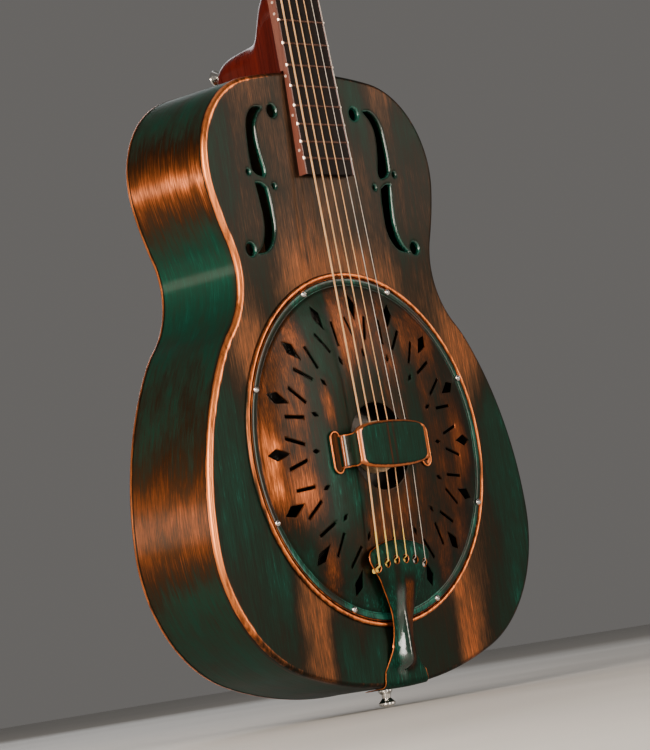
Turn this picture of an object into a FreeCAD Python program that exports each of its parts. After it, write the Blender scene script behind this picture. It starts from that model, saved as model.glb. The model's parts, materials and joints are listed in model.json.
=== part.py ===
"""Resonator guitar: metal body, single spun cone, slotted headstock, open-gear tuning machines.

Millimetres. Everything is drawn about the bridge: x towards the treble side, y into the body from
the top plate's outer face, z up the neck from the centre of the coverplate. write() then moves it,
so that the finished frame's origin is where the end pin seats on the tailpiece.
"""
import FreeCAD, Part
import math
import os

V = FreeCAD.Vector
X_AXIS = V(1, 0, 0)
Y_AXIS = V(0, 1, 0)
Z_AXIS = V(0, 0, 1)
ORIGIN = V(0, 0, 0)

# ---- driving dimensions: scale and neck --------------------------------------------------------
SCALE_LENGTH = 651.0
NUT_Z = 656.0
FRET_COUNT = 19
NECK_TILT = 2.18
HEAD_TILT = 15.0

FRETBOARD_END_Z = 210.1
FRETBOARD_END_Y = -6.73
FRETBOARD_THICKNESS = 6.7
FRETBOARD_HALF = 28.5
NUT_HALF = 22.3
NUT_THICKNESS = 5.0
NUT_TOP = -1.3
NUT_FALL = 2.6
BINDING = 1.8
FRET_HALF = 1.1
FRET_HEIGHT = 1.0
DOT_RADIUS = 1.1
# fret number and shift along the board
SIDE_DOTS = ((3, 0), (5, 0), (7, 0), (9, 0), (12, -4.5), (12, 4.5), (15, 0), (17, 0), (19, 0))

# distance along the neck and depth of its back
NECK_BACKS = ((60.0, 26.0), (170.0, 24.6))
NECK_BACK_AT_NUT = 21.5
# depth, half width and height of the heel's sections
HEEL_SECTIONS = (
    (2.0, 26.6, 372.0), (12.0, 25.0, 366.0), (24.0, 21.5, 350.0), (36.0, 18.0, 329.0),
    (52.0, 15.5, 323.0), (68.0, 14.0, 320.5), (78.0, 12.5, 316.5), (82.0, 10.5, 311.5),
)
HEEL_FOOT_Z = 280.0
HEEL_BUTTON_Z = 309.0
STICK_HALF = 14.0
STICK_DEPTHS = (34.0, 58.0)
STICK_END_Z = 295.0
ROD_RADIUS = 2.5
ROD_START = 92.0

# ---- driving dimensions: body ------------------------------------------------------------------
BODY_DEPTH = 82.0
TAIL_Z = -179.86
SKIN = 1.0
LID_DEPTH = 4.5
EDGE_RADIUS = 3.0
SIDE_INSET = 0.3
# radius and sweep in degrees of each arc of the right half, from the tail to the neck
OUTLINE_ARCS = (
    (335.6, 19.2), (110.3, 71.26), (252.5, 32.31), (93.7, 12.08),
    (61.9, -67.19), (232.8, 10.09), (71.3, 92.87), (445.1, 9.38),
)
TAIL_BLOCK_HALF = 26.0
TAIL_BLOCK_LENGTH = 24.0

# f-hole on the bass side: the sides of its two lobes as curves, then circles as x, z, radius
UPPER_LOBE = (
    ((-59.4, 262.4), (-68, 262.3), (-75, 257.3), (-79, 249), (-80.3, 238), (-81, 226), (-80.6, 215)),
    ((-80.6, 215), (-76.2, 211.2), (-68.5, 209.1)),
    ((-68.5, 209.1), (-66.6, 213.5), (-69.1, 226), (-70.6, 237.5), (-69.9, 248), (-66.2, 256), (-59.4, 262.4)),
)
LOWER_LOBE = (
    ((-79, 204.6), (-73, 204), (-67, 200.7)),
    ((-67, 200.7), (-65.7, 192), (-65.2, 180), (-65.7, 168.7), (-69.8, 159.1), (-77.2, 152.8), (-88.2, 150.9)),
    ((-88.2, 150.9), (-82.3, 156), (-78.1, 163.9), (-76, 175.1), (-76.7, 188), (-79, 204.6)),
)
F_CIRCLES = ((-48, 260, 5.0), (-96, 154, 5.0), (-59, 202, 2.1), (-85.5, 212.6, 2.1))

COVER_RADIUS = 131.2
COVER_SHEET = 0.9
BEAD_GAP = 0.4
BEAD_WIDTH = 4.0
BEAD_HEIGHT = 2.3
FLANGE_Y = -2.2
SCREW_CIRCLE = 128.5
SCREW_COUNT = 8
# the dome's section as radius and height, from its foot to the centre hole
DOME = ((124.0, -2.3), (108.6, -5.5), (90.0, -8.1), (72.0, -10.0), (52.0, -11.4), (33.0, -12.0))
RAYS = 16
KITE = ((118.2, 0), (110.3, 4.5), (98.0, 0), (110.3, -4.5))
DIAMOND = ((75.4, 0), (71.8, 1.6), (68.3, 0), (71.8, -1.6))
# each end of a ray's leaning slot, as radius and offset
RAY_SLOT = ((100.0, 11.5), (81.8, 5.8))
RAY_SLOT_HALF = 1.1

WELL_RADIUS = 124.5
WELL_LEDGE = 13.0
SEAT_DEPTH = 25.0
CONE_RADIUS = 120.6
CONE_SHEET = 0.5
CONE_BEND = 113.0
APEX_Y = -2.2

# ---- driving dimensions: bridge, handrest and tailpiece ----------------------------------------
BISCUIT_RADIUS = 19.5
BISCUIT_THICKNESS = 8.2
SADDLE_Z = 2.0
SADDLE_TOP = -18.6
SADDLE_SPREAD = 53.4

PAD_TOP = -27.0
PAD_HALF_LENGTH = 42.0
PAD_MIDDLE = 17.5
PAD_END = 11.5
PAD_SHEET = 1.6
FOOT_OUTER = 54.5
FOOT_HALF = 16.5
FOOT_TOP = -13.2

STRAP_THICKNESS = 1.2
TAIL_SPREAD = 55.0
TAIL_HOLE_RADIUS = 2.3
TAIL_HOLE_DROP = 1.2
# the tailpiece's outer face, as z and y
TAIL_PROFILE = (
    (-70.0, -11.4), (-75.0, -13.4), (-80.5, -14.3), (-88.0, -14.5), (-100.0, -13.4), (-113.0, -11.2),
    (-126.0, -8.9), (-140.0, -6.6), (-152.0, -4.0), (-161.0, -1.9), (-167.0, -1.2), (-172.0, -1.2),
)
# its half width at each z
TAIL_HALF_WIDTHS = (
    (-78.5, 33.0), (-82.0, 35.0), (-87.0, 34.6), (-93.0, 30.6), (-100.0, 25.6), (-108.0, 21.4),
    (-116.0, 17.2), (-124.0, 13.6), (-132.0, 11.8), (-141.0, 11.4), (-150.0, 12.8), (-158.0, 16.2),
    (-166.0, 21.3), (-172.0, 24.0), (-184.0, 26.2),
)
STRAP_OUTLINE = ((26.2, 0.5), (26.2, 6.0), (22.0, 15.0), (14.0, 26.0), (9.0, 34.0))
STRAP_END_Y = 37.0
# station, half width and height of the ridge
TAIL_RIB = ((-97.0, 14.0, 0.6), (-108.0, 12.5, 2.3), (-122.0, 10.0, 3.4), (-138.0, 8.6, 3.9),
            (-152.0, 8.4, 4.0), (-163.0, 7.8, 3.4), (-169.5, 5.0, 1.2))
PIN_DEPTH = 22.0
PIN_BORE = 1.7

# ---- driving dimensions: headstock and tuning machines -----------------------------------------
HEAD_FACE_DROP = 4.0
HEAD_LENGTH = 172.0
HEAD_HALF = 36.0
HEAD_THICKNESS = 20.0
VENEER = 1.6
SLOT_INNER = 8.5
SLOT_OUTER = 22.5
SLOT_START = 34.0
SLOT_END = 142.0
POST_STATIONS = (50.0, 88.0, 126.0)
POST_DEPTH = 8.5
POST_RADIUS = 5.0
POST_INNER = 4.4
CAPSTAN_RADIUS = 4.0
SPINDLE_RADIUS = 3.0

GEAR_TEETH = 14
WORM_PITCH = 2.4
WORM_PITCH_RADIUS = 2.5
GEAR_PITCH_RADIUS = GEAR_TEETH * WORM_PITCH / (2 * math.pi)
GEAR_X = 40.8
GEAR_HALF = 1.3
WORM_SPAN = (3.2, 13.8)
WORM_TURN = 90.0
SHAFT_RADIUS = 1.6
PLATE_THICKNESS = 1.4
PLATE_SCREWS = (38.0, 69.0, 107.0, 145.0)
TAB_DEPTHS = (1.6, 14.2)
TAB_SHEET = 1.2
BUTTON_START = 22.0
BUTTON_LENGTH = 15.0
ROD_COVER_THICKNESS = 1.2

# ---- driving dimensions: strings, from the bass side to the treble side ------------------------
STRING_RADII = (0.72, 0.58, 0.46, 0.36, 0.25, 0.21)
POST_OF_STRING = (0, 1, 2, 2, 1, 0)
CAPSTAN_X = (19.2, 17.2, 15.4, 15.4, 17.2, 19.2)
NUT_SPREAD = 37.2
WINDING_TURNS = 3
BALL_Y = -11.0
BALL_RADIUS = 1.85
BALL_LENGTH = 3.2

FINISHED_ORIGIN = V(0, PIN_DEPTH, TAIL_Z - STRAP_THICKNESS)
NUT_ALONG = (NUT_Z - FRETBOARD_END_Z) / math.cos(math.radians(NECK_TILT))
TOLERANCE = 1e-6


# ---- helpers -----------------------------------------------------------------------------------
def write(name, *shapes):
    """Moves the piece into the finished frame and writes it as one STEP file."""
    shape = shapes[0] if len(shapes) == 1 else Part.makeCompound(list(shapes))
    shape = shape.copy()
    shape.translate(FINISHED_ORIGIN * -1)
    shape.exportStep("parts/" + name + ".step")
    print(name, "solids", len(shape.Solids), "volume", round(shape.Volume), "valid", shape.isValid())


def box(x0, x1, y0, y1, z0, z1):
    return Part.makeBox(x1 - x0, y1 - y0, z1 - z0, V(x0, y0, z0))


def polygon_face(points):
    return Part.Face(Part.makePolygon(list(points) + [points[0]]))


def spline(points):
    curve = Part.BSplineCurve()
    curve.interpolate(points)
    return curve.toShape()


def prism_y(wire, y0, y1):
    """A wire drawn in the plane y = 0, made into a solid from y0 to y1."""
    solid = Part.Face(wire).extrude(V(0, y1 - y0, 0))
    solid.translate(V(0, y0, 0))
    return solid


def revolve_y(points):
    """A closed section of (radius, y) points turned about the y axis."""
    return polygon_face([V(r, y, 0) for r, y in points]).revolve(ORIGIN, Y_AXIS, 360)


def mirrored(shape):
    return shape.mirror(ORIGIN, X_AXIS)


def moved(shape, x, y, z):
    shape = shape.copy()
    shape.translate(V(x, y, z))
    return shape


def edges_at(solid, y):
    """The edges of a solid that lie in one plane across y."""
    return [e for e in solid.Edges if all(abs(v.Y - y) < TOLERANCE for v in e.Vertexes)]


def edges_along(solid, axis):
    """The straight edges of a solid along one axis, given as the names of the other two."""
    found = []
    for edge in solid.Edges:
        first, last = edge.Vertexes[0], edge.Vertexes[-1]
        if all(abs(getattr(first, name) - getattr(last, name)) < TOLERANCE for name in axis):
            found.append(edge)
    return found


def to_neck(shape):
    """From the neck's own frame: x across, y down from the fretboard's face, z from its body end."""
    shape = shape.copy()
    shape.rotate(ORIGIN, X_AXIS, -NECK_TILT)
    shape.translate(V(0, FRETBOARD_END_Y, FRETBOARD_END_Z))
    return shape


def to_head(shape):
    """From the headstock's own frame: x across, y down from its face, z from the nut."""
    shape = shape.copy()
    shape.rotate(ORIGIN, X_AXIS, -HEAD_TILT)
    shape.translate(V(0, HEAD_FACE_DROP, NUT_ALONG + NUT_THICKNESS))
    return to_neck(shape)


def point_through(placer, point):
    return placer(Part.Vertex(point)).Point


# ---- body --------------------------------------------------------------------------------------
def outline(inset=0.0):
    """The guitar's outline in the plane y = 0: a chain of tangent arcs and its mirror image."""
    x, z, heading = 0.0, TAIL_Z + inset, 0.0
    right = []
    last = len(OUTLINE_ARCS) - 1
    for number, (radius, sweep) in enumerate(OUTLINE_ARCS):
        side = 1 if sweep > 0 else -1
        r = radius - side * inset
        centre_x = x - side * r * math.sin(heading)
        centre_z = z + side * r * math.cos(heading)
        ends = []
        for share in (0.5, 1.0):
            turned = heading + math.radians(sweep) * share
            ends.append((centre_x + side * r * math.sin(turned), centre_z - side * r * math.cos(turned)))
        if number == last:
            ends[1] = (0.0, ends[1][1])
        right.append(((x, z), ends[0], ends[1]))
        x, z = ends[1]
        heading += math.radians(sweep)
    edges = [Part.Arc(*[V(a, 0, b) for a, b in arc]).toShape() for arc in right]
    edges += [Part.Arc(*[V(-a, 0, b) for a, b in reversed(arc)]).toShape() for arc in reversed(right)]
    return Part.Wire(edges)


def lid(y_face, direction):
    """A pressed plate with a rounded, turned-over rim. direction is +1 for the top, -1 for the back."""
    def block(inset, near, far, radius):
        solid = prism_y(outline(inset), min(near, far), max(near, far))
        return solid.makeFillet(radius, edges_at(solid, near))

    outer = block(0.0, y_face, y_face + direction * LID_DEPTH, EDGE_RADIUS)
    y_inside = y_face + direction * SKIN
    inner = block(SKIN, y_inside, y_face + direction * (LID_DEPTH + 1), EDGE_RADIUS - SKIN)
    return outer.cut(inner)


def f_hole():
    """Cutters for the bass side's f-hole: two lobes, two end circles and two dots."""
    cutters = []
    for lobe in (UPPER_LOBE, LOWER_LOBE):
        edges = [spline([V(x, 0, z) for x, z in side]) for side in lobe]
        cutters.append(prism_y(Part.Wire(edges), -3, 8))
    for x, z, radius in F_CIRCLES:
        cutters.append(Part.makeCylinder(radius, 11, V(x, -3, z), Y_AXIS))
    return Part.makeCompound(cutters)


def cover_bead():
    """The raised ring that the coverplate's edge drops into."""
    inner = COVER_RADIUS + BEAD_GAP
    outer = inner + BEAD_WIDTH
    root = SKIN / 2
    arc = Part.Arc(V(inner, 0, 0), V((inner + outer) / 2, -BEAD_HEIGHT, 0), V(outer, 0, 0)).toShape()
    base = Part.makePolygon([V(outer, 0, 0), V(outer, root, 0), V(inner, root, 0), V(inner, 0, 0)])
    face = Part.Face(Part.Wire([arc] + base.Edges))
    return face.revolve(ORIGIN, Y_AXIS, 360)


def cover_screw(angle):
    """A round-head machine screw, through the coverplate's flange and the top plate."""
    head = Part.makeSphere(2.6).common(box(-3, 3, -3, 0, -3, 3))
    shank = Part.makeCylinder(1.4, 8, ORIGIN, Y_AXIS)
    slot = box(-3, 3, -4, -2.0, -0.35, 0.35)
    screw = head.fuse(shank).cut(slot)
    screw.translate(V(SCREW_CIRCLE, FLANGE_Y, 0))
    screw.rotate(ORIGIN, Y_AXIS, -angle)
    return screw


def dome_edge(offset):
    return spline([V(r, y + offset, 0) for r, y in DOME])


def coverplate():
    """A domed cover with a flat screw flange, pierced by rays of kite, two slots and diamond."""
    rim, foot, hole = COVER_RADIUS, V(*DOME[0], 0), V(*DOME[-1], 0)
    sheet = V(0, COVER_SHEET, 0)
    under_flange = FLANGE_Y + COVER_SHEET
    centre = Part.makePolygon([hole + sheet, hole])
    flange = Part.makePolygon([
        foot, V(125.2, -1.5, 0), V(126.2, FLANGE_Y, 0), V(rim - 0.8, FLANGE_Y, 0), V(rim, FLANGE_Y + 0.8, 0),
        V(rim, 0, 0), V(rim - COVER_SHEET, 0, 0), V(rim - COVER_SHEET, under_flange, 0),
        V(126.4, under_flange, 0), V(125.2, -0.5, 0), foot + sheet,
    ])
    wire = Part.Wire(centre.Edges + [dome_edge(0)] + flange.Edges + [dome_edge(COVER_SHEET)])
    cover = Part.Face(wire).revolve(ORIGIN, Y_AXIS, 360)
    return cover.cut(Part.makeCompound(pierced_rays()))


def pierced_rays():
    """Every ray points at the centre; the first is at the top, under the strings."""
    (out_r, out_across), (in_r, in_across) = RAY_SLOT
    lean = math.atan2(out_across - in_across, out_r - in_r)
    dr, da = RAY_SLOT_HALF * math.sin(lean), RAY_SLOT_HALF * math.cos(lean)
    slot = ((out_r - dr, out_across + da), (out_r + dr, out_across - da),
            (in_r + dr, in_across - da), (in_r - dr, in_across + da))
    other_slot = tuple((r, -across) for r, across in slot)
    cutters = []
    for number in range(RAYS):
        for shape in (KITE, DIAMOND, slot, other_slot):
            cutter = prism_y(Part.makePolygon([V(r, 0, a) for r, a in shape + (shape[0],)]), -16, 4)
            cutter.rotate(ORIGIN, Y_AXIS, -90 + number * 360 / RAYS)
            cutters.append(cutter)
    return cutters


def soundwell():
    """A drum that hangs from the top plate's hole, with a ledge at its foot for the cone."""
    wall, ledge, foot = WELL_RADIUS, WELL_RADIUS - WELL_LEDGE, SEAT_DEPTH + 1.2
    return revolve_y([
        (wall - 1, SKIN), (wall, SKIN), (wall, foot), (ledge, foot), (ledge, SEAT_DEPTH), (wall - 1, SEAT_DEPTH),
    ])


def cone():
    """Spun aluminium: a rolled rim on the well's seat, rising towards the strings to a flat apex."""
    rim_y, bend, shoulder_y = SEAT_DEPTH - 0.6, CONE_BEND, APEX_Y + 5.0
    return revolve_y([
        (0, APEX_Y), (20.5, APEX_Y), (34, shoulder_y), (bend, rim_y - 3.5), (bend + 3, rim_y - 1.5),
        (CONE_RADIUS, rim_y - 1.5), (CONE_RADIUS, rim_y + 0.6), (bend + 1, rim_y + 0.6),
        (bend - 1.5, rim_y - 3.0), (33.5, shoulder_y + CONE_SHEET), (20, APEX_Y + CONE_SHEET),
        (0, APEX_Y + CONE_SHEET),
    ])


def biscuit_and_saddle():
    """The disc on the cone's apex, the saddle let into it, and the screw from under the cone."""
    biscuit_top = APEX_Y - BISCUIT_THICKNESS
    biscuit = Part.makeCylinder(BISCUIT_RADIUS, BISCUIT_THICKNESS, V(0, biscuit_top, 0), Y_AXIS)
    half = SADDLE_SPREAD / 2 + 2.6
    blank = box(-half, half, SADDLE_TOP, biscuit_top + 4.5, SADDLE_Z - 1.5, SADDLE_Z + 1.5)
    lower = box(-17.5, 17.5, -40, biscuit_top + 5, -10, 10)
    wings = box(-half - 1, half + 1, -40, biscuit_top - 0.6, -10, 10)
    saddle = blank.common(lower.fuse(wings))
    screw = Part.makeCylinder(1.5, 5, V(0, APEX_Y - 3.5, 6), Y_AXIS)
    screw = screw.fuse(Part.makeCylinder(3.2, 1.2, V(0, APEX_Y + CONE_SHEET, 6), Y_AXIS))
    return biscuit.cut(saddle).cut(screw), saddle, screw


# ---- handrest and tailpiece --------------------------------------------------------------------
def pad_wire(inset=0.0):
    length, middle, end = PAD_HALF_LENGTH - inset, PAD_MIDDLE - inset, PAD_END - inset
    upper = Part.Arc(V(-length, 0, end), V(0, 0, middle), V(length, 0, end)).toShape()
    right = Part.makeLine(V(length, 0, end), V(length, 0, -end))
    lower = Part.Arc(V(length, 0, -end), V(0, 0, -middle), V(-length, 0, -end)).toShape()
    left = Part.makeLine(V(-length, 0, -end), V(-length, 0, end))
    return Part.Wire([upper, right, lower, left])


def handrest():
    """A pressed bridge guard: a crowned pad on two legs that turn out into oblong feet."""
    pad = prism_y(pad_wire(), PAD_TOP, PAD_TOP + 4.5)
    pad = pad.makeFillet(5.0, edges_along(pad, "XZ"))
    pad = pad.makeFillet(2.6, edges_at(pad, PAD_TOP))
    pad = pad.cut(prism_y(pad_wire(PAD_SHEET), PAD_TOP + 1.4, PAD_TOP + 6))
    inner = PAD_HALF_LENGTH - PAD_SHEET
    sunk = FOOT_TOP + 4.2
    leg = box(inner, PAD_HALF_LENGTH, PAD_TOP + 2.0, sunk, -PAD_END, PAD_END)
    foot = box(inner, FOOT_OUTER, FOOT_TOP, sunk, -FOOT_HALF, FOOT_HALF)
    corners = [e for e in edges_along(foot, "XZ") if abs(e.Vertexes[0].X - FOOT_OUTER) < TOLERANCE]
    leg = leg.fuse(foot.makeFillet(6.0, corners)).cut(dome_solid())
    return pad.fuse([leg, mirrored(leg)]).removeSplitter()


def dome_solid():
    """Everything under the coverplate's outer surface, for shaping what stands on it."""
    foot, hole = V(*DOME[0], 0), V(*DOME[-1], 0)
    closing = Part.makePolygon([foot, V(foot.x, 10, 0), V(0, 10, 0), V(0, hole.y - 0.2, 0), hole])
    return Part.Face(Part.Wire([dome_edge(0)] + closing.Edges)).revolve(ORIGIN, Y_AXIS, 360)


def tail_hole_station(x):
    """The string holes lie on an arc that bows towards the bridge."""
    return -85.0 - x * x / 150.0


def rounded_body(outset):
    """The body's front half with its rounded rim, grown outwards by a sheet's thickness."""
    block = prism_y(outline(-outset), -outset, BODY_DEPTH / 2)
    return block.makeFillet(EDGE_RADIUS + outset, edges_at(block, -outset))


def tail_fan():
    """The part that stands over the coverplate, from the string holes down to the top plate."""
    thickness = STRAP_THICKNESS
    outer = spline([V(0, y, z) for z, y in TAIL_PROFILE])
    inner = spline([V(0, y + thickness, z) for z, y in reversed(TAIL_PROFILE)])
    first, last = TAIL_PROFILE[0], TAIL_PROFILE[-1]
    heel_end = Part.makeLine(V(0, last[1], last[0]), V(0, last[1] + thickness, last[0]))
    nose = Part.makeLine(V(0, first[1] + thickness, first[0]), V(0, first[1], first[0]))
    band = Part.Face(Part.Wire([outer, heel_end, inner, nose])).extrude(V(90, 0, 0))
    band.translate(V(-45, 0, 0))
    return band


def tail_outline():
    """The fan's outline from the front, narrow-waisted and flared at both ends."""
    sides = [V(w, 0, z) for z, w in TAIL_HALF_WIDTHS]
    right = spline(sides)
    left = spline([V(-p.x, 0, p.z) for p in reversed(sides)])
    top = Part.Arc(V(-sides[0].x, 0, sides[0].z), V(0, 0, TAIL_PROFILE[0][0] - 0.2), sides[0]).toShape()
    bottom = Part.makeLine(sides[-1], V(-sides[-1].x, 0, sides[-1].z))
    return prism_y(Part.Wire([top, right, bottom, left]), -40, 1.0)


def strap_prism():
    """The strap's outline on the body's end, tapering to a round end past the end pin."""
    right = spline([V(x, y, 0) for x, y in STRAP_OUTLINE])
    left = spline([V(-x, y, 0) for x, y in reversed(STRAP_OUTLINE)])
    x, y = STRAP_OUTLINE[-1]
    end = Part.Arc(V(x, y, 0), V(0, STRAP_END_Y, 0), V(-x, y, 0)).toShape()
    width, start = STRAP_OUTLINE[0]
    base = Part.makeLine(V(-width, start, 0), V(width, start, 0))
    solid = Part.Face(Part.Wire([right, end, left, base])).extrude(V(0, 0, 30))
    solid.translate(V(0, 0, TAIL_Z - 10))
    return solid


def tailpiece():
    """A stamped plate from the string holes over the coverplate to the body's edge, then a strap."""
    wrap = rounded_body(STRAP_THICKNESS).cut(rounded_body(0))
    foot = box(-40, 40, -10, 50, TAIL_Z - 10, -167.0)
    front = tail_fan().fuse(wrap.common(foot)).common(tail_outline())
    piece = front.fuse(wrap.common(strap_prism())).fuse(tail_rib())
    holes = []
    for x in string_offsets(TAIL_SPREAD):
        start = V(x, -24, tail_hole_station(x) - TAIL_HOLE_DROP)
        holes.append(Part.makeCylinder(TAIL_HOLE_RADIUS, 20, start, Y_AXIS))
    holes.append(Part.makeCylinder(PIN_BORE, 20, V(0, PIN_DEPTH, TAIL_Z - 10), Z_AXIS))
    return piece.cut([Part.makeCompound(holes), rounded_body(0)]).removeSplitter()


def tail_height(z):
    """The tailpiece's outer face at a station along it."""
    for (z0, y0), (z1, y1) in zip(TAIL_PROFILE, TAIL_PROFILE[1:]):
        if z1 <= z <= z0:
            return y0 + (y1 - y0) * (z - z0) / (z1 - z0)
    return TAIL_PROFILE[-1][1]


def tail_rib():
    """The pressed ridge down the middle of the fan, lofted through arched sections."""
    sections = []
    for z, half, height in TAIL_RIB:
        y = tail_height(z) + 0.5
        arc = Part.Arc(V(-half, y, z), V(0, y - height - 0.5, z), V(half, y, z)).toShape()
        sections.append(Part.Wire([arc, Part.makeLine(V(half, y, z), V(-half, y, z))]))
    return Part.makeLoft(sections, True, False)


def strap_button():
    """Turned button: broad base on its seat, narrow waist, domed head. Base at y = 0, head towards +y."""
    return revolve_y([
        (PIN_BORE, 0), (5.6, 0), (5.6, 1.2), (3.6, 3.2), (3.3, 6.2), (6.4, 9.6), (6.4, 11.0), (4.6, 12.2),
        (3.4, 12.2), (PIN_BORE, 10.2),
    ])


def strap_screw():
    """The countersunk screw through a strap button, its point towards -y."""
    shank = PIN_BORE - 0.05
    return revolve_y([(0, -24), (0.9, -22), (shank, -18), (shank, 10.4), (3.0, 12.0), (2.4, 12.7), (0, 12.9)])


def end_pin_place(shape):
    """Stands a strap button's parts on the tail strap, pointing down."""
    shape = shape.copy()
    shape.rotate(ORIGIN, X_AXIS, -90)
    shape.translate(V(0, PIN_DEPTH, TAIL_Z - STRAP_THICKNESS))
    return shape


def heel_button_place(shape):
    """Stands a strap button's parts on the heel's cap, pointing back."""
    return moved(shape, 0, BODY_DEPTH, HEEL_BUTTON_Z)


# ---- neck --------------------------------------------------------------------------------------
def half_width(along):
    """Half the fretboard's width at a distance from its body end."""
    return FRETBOARD_HALF + (NUT_HALF - FRETBOARD_HALF) * along / NUT_ALONG


def neck_section(along, back):
    half = half_width(along)
    top = FRETBOARD_THICKNESS
    arc = Part.Arc(V(-half, top, along), V(0, back, along), V(half, top, along)).toShape()
    return Part.Wire([arc, Part.makeLine(V(half, top, along), V(-half, top, along))])


def heel():
    """Sections across the heel, from under the fretboard to the cap at the body's back."""
    sections = []
    for y, half, top in HEEL_SECTIONS:
        shoulder = HEEL_FOOT_Z + (top - HEEL_FOOT_Z) * 0.62
        edges = [
            Part.makeLine(V(-half, y, HEEL_FOOT_Z), V(half, y, HEEL_FOOT_Z)),
            Part.makeLine(V(half, y, HEEL_FOOT_Z), V(half, y, shoulder)),
            Part.Arc(V(half, y, shoulder), V(0, y, top), V(-half, y, shoulder)).toShape(),
            Part.makeLine(V(-half, y, shoulder), V(-half, y, HEEL_FOOT_Z)),
        ]
        sections.append(Part.Wire(edges))
    return Part.makeLoft(sections, True, False)


def neck():
    """The shaft, from the body to the nut, and the heel that meets the body's end."""
    backs = NECK_BACKS + ((NUT_ALONG + 1, NECK_BACK_AT_NUT),)
    shaft = to_neck(Part.makeLoft([neck_section(along, back) for along, back in backs], True, False))
    under_board = to_neck(box(-60, 60, -40, FRETBOARD_THICKNESS, 0, NUT_ALONG + 30))
    body = prism_y(outline(), -10, BODY_DEPTH + 10)
    return shaft.fuse(heel()).cut(under_board).cut(body).removeSplitter()


def neck_stick():
    """The square bar that carries the neck's pull through the body to the tail block."""
    return box(-STICK_HALF, STICK_HALF, *STICK_DEPTHS, TAIL_Z + TAIL_BLOCK_LENGTH, STICK_END_Z)


def tail_block():
    """The wooden block inside the tail end, shaped to the side wall."""
    half = TAIL_BLOCK_HALF
    block = box(-half, half, 5.0, 60.0, TAIL_Z - 4, TAIL_Z + TAIL_BLOCK_LENGTH)
    return block.common(prism_y(outline(SIDE_INSET + SKIN), 0, BODY_DEPTH))


def truss_rod():
    """A steel rod in the neck, under the fretboard."""
    start = V(0, FRETBOARD_THICKNESS + 2 * ROD_RADIUS, ROD_START)
    return to_neck(Part.makeCylinder(ROD_RADIUS, NUT_ALONG - ROD_START, start, Z_AXIS))


def fretboard_blank(inset):
    """A tapering board, thinned underneath where it lies on the top plate."""
    wires = []
    for along in (0.0, NUT_ALONG):
        half = half_width(along) - inset
        corners = [V(-half, 0, along), V(half, 0, along), V(half, FRETBOARD_THICKNESS, along),
                   V(-half, FRETBOARD_THICKNESS, along)]
        wires.append(Part.makePolygon(corners + [corners[0]]))
    board = to_neck(Part.makeLoft(wires, True, True))
    return board.cut(box(-60, 60, 0, 30, 150, 291.7))


def fret_along(number):
    return NUT_ALONG - SCALE_LENGTH * (1 - 2 ** (-number / 12))


def fret(number):
    """A crown on the board's face, with ends bevelled over the binding."""
    along = fret_along(number)
    half = half_width(along) + 0.15
    start, end = V(-half, 0, along - FRET_HALF), V(-half, 0, along + FRET_HALF)
    arc = Part.Arc(start, V(-half, -FRET_HEIGHT, along), end).toShape()
    crown = Part.Face(Part.Wire([arc, Part.makeLine(end, start)])).extrude(V(2 * half, 0, 0))
    bevel = polygon_face([V(-half, 0, along - 2), V(-half, -2, along - 2), V(-half + 1.2, -2, along - 2)])
    bevel = bevel.extrude(V(0, 0, 4))
    return to_neck(crown.cut([bevel, mirrored(bevel)]))


def side_dot(number, shift):
    """A dot in the bass binding, midway between a fret and the one before it."""
    along = (fret_along(number) + fret_along(number - 1)) / 2 + shift
    start = V(-half_width(along) - 0.05, 2.4, along)
    return to_neck(Part.makeCylinder(DOT_RADIUS, 1.3, start, X_AXIS))


def nut():
    """The nut's top falls back towards the headstock."""
    back = NUT_ALONG + NUT_THICKNESS
    side = [V(-NUT_HALF, NUT_TOP, NUT_ALONG), V(-NUT_HALF, NUT_TOP + NUT_FALL, back),
            V(-NUT_HALF, FRETBOARD_THICKNESS, back), V(-NUT_HALF, FRETBOARD_THICKNESS, NUT_ALONG)]
    return to_neck(polygon_face(side).extrude(V(2 * NUT_HALF, 0, 0)))


# ---- headstock ---------------------------------------------------------------------------------
def head_wire():
    """Seen from the front: flares from the nut to parallel edges, with a gently arched top."""
    corner, crest_rise = 9.0, 4.0
    neck_half = NUT_HALF + 0.2
    half, top = HEAD_HALF, HEAD_LENGTH
    right = [
        spline([V(neck_half, 0, 0), V(neck_half + 1.6, 0, 10), V(half - 3.0, 0, 25), V(half, 0, SLOT_START)]),
        Part.makeLine(V(half, 0, SLOT_START), V(half, 0, top - corner)),
        Part.Arc(V(half, 0, top - corner), V(half - 2.6, 0, top - 3.0), V(half - corner, 0, top)).toShape(),
    ]
    crest = Part.Arc(V(half - corner, 0, top), V(0, 0, top + crest_rise), V(corner - half, 0, top)).toShape()
    left = [mirrored(edge) for edge in reversed(right)]
    base = Part.makeLine(V(-neck_half, 0, 0), V(neck_half, 0, 0))
    return Part.Wire(right + [crest] + left + [base])


def head_slots():
    """The two string slots, with ramps where the outer strings drop in."""
    cutters = []
    radius = (SLOT_OUTER - SLOT_INNER) / 2
    first, last = SLOT_START + radius, SLOT_END - radius
    for side in (1, -1):
        middle = side * (SLOT_INNER + SLOT_OUTER) / 2
        slot = box(middle - radius, middle + radius, -5, HEAD_THICKNESS + 5, first, last)
        ends = []
        for z in (first, last):
            ends.append(Part.makeCylinder(radius, HEAD_THICKNESS + 10, V(middle, -5, z), Y_AXIS))
        cutters.append(slot.fuse(ends))
        ramp = polygon_face([V(middle - radius, -1, 12), V(middle - radius, 4.4, 42), V(middle - radius, -1, 42)])
        cutters.append(ramp.extrude(V(2 * radius, 0, 0)))
    return Part.makeCompound(cutters)


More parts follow.
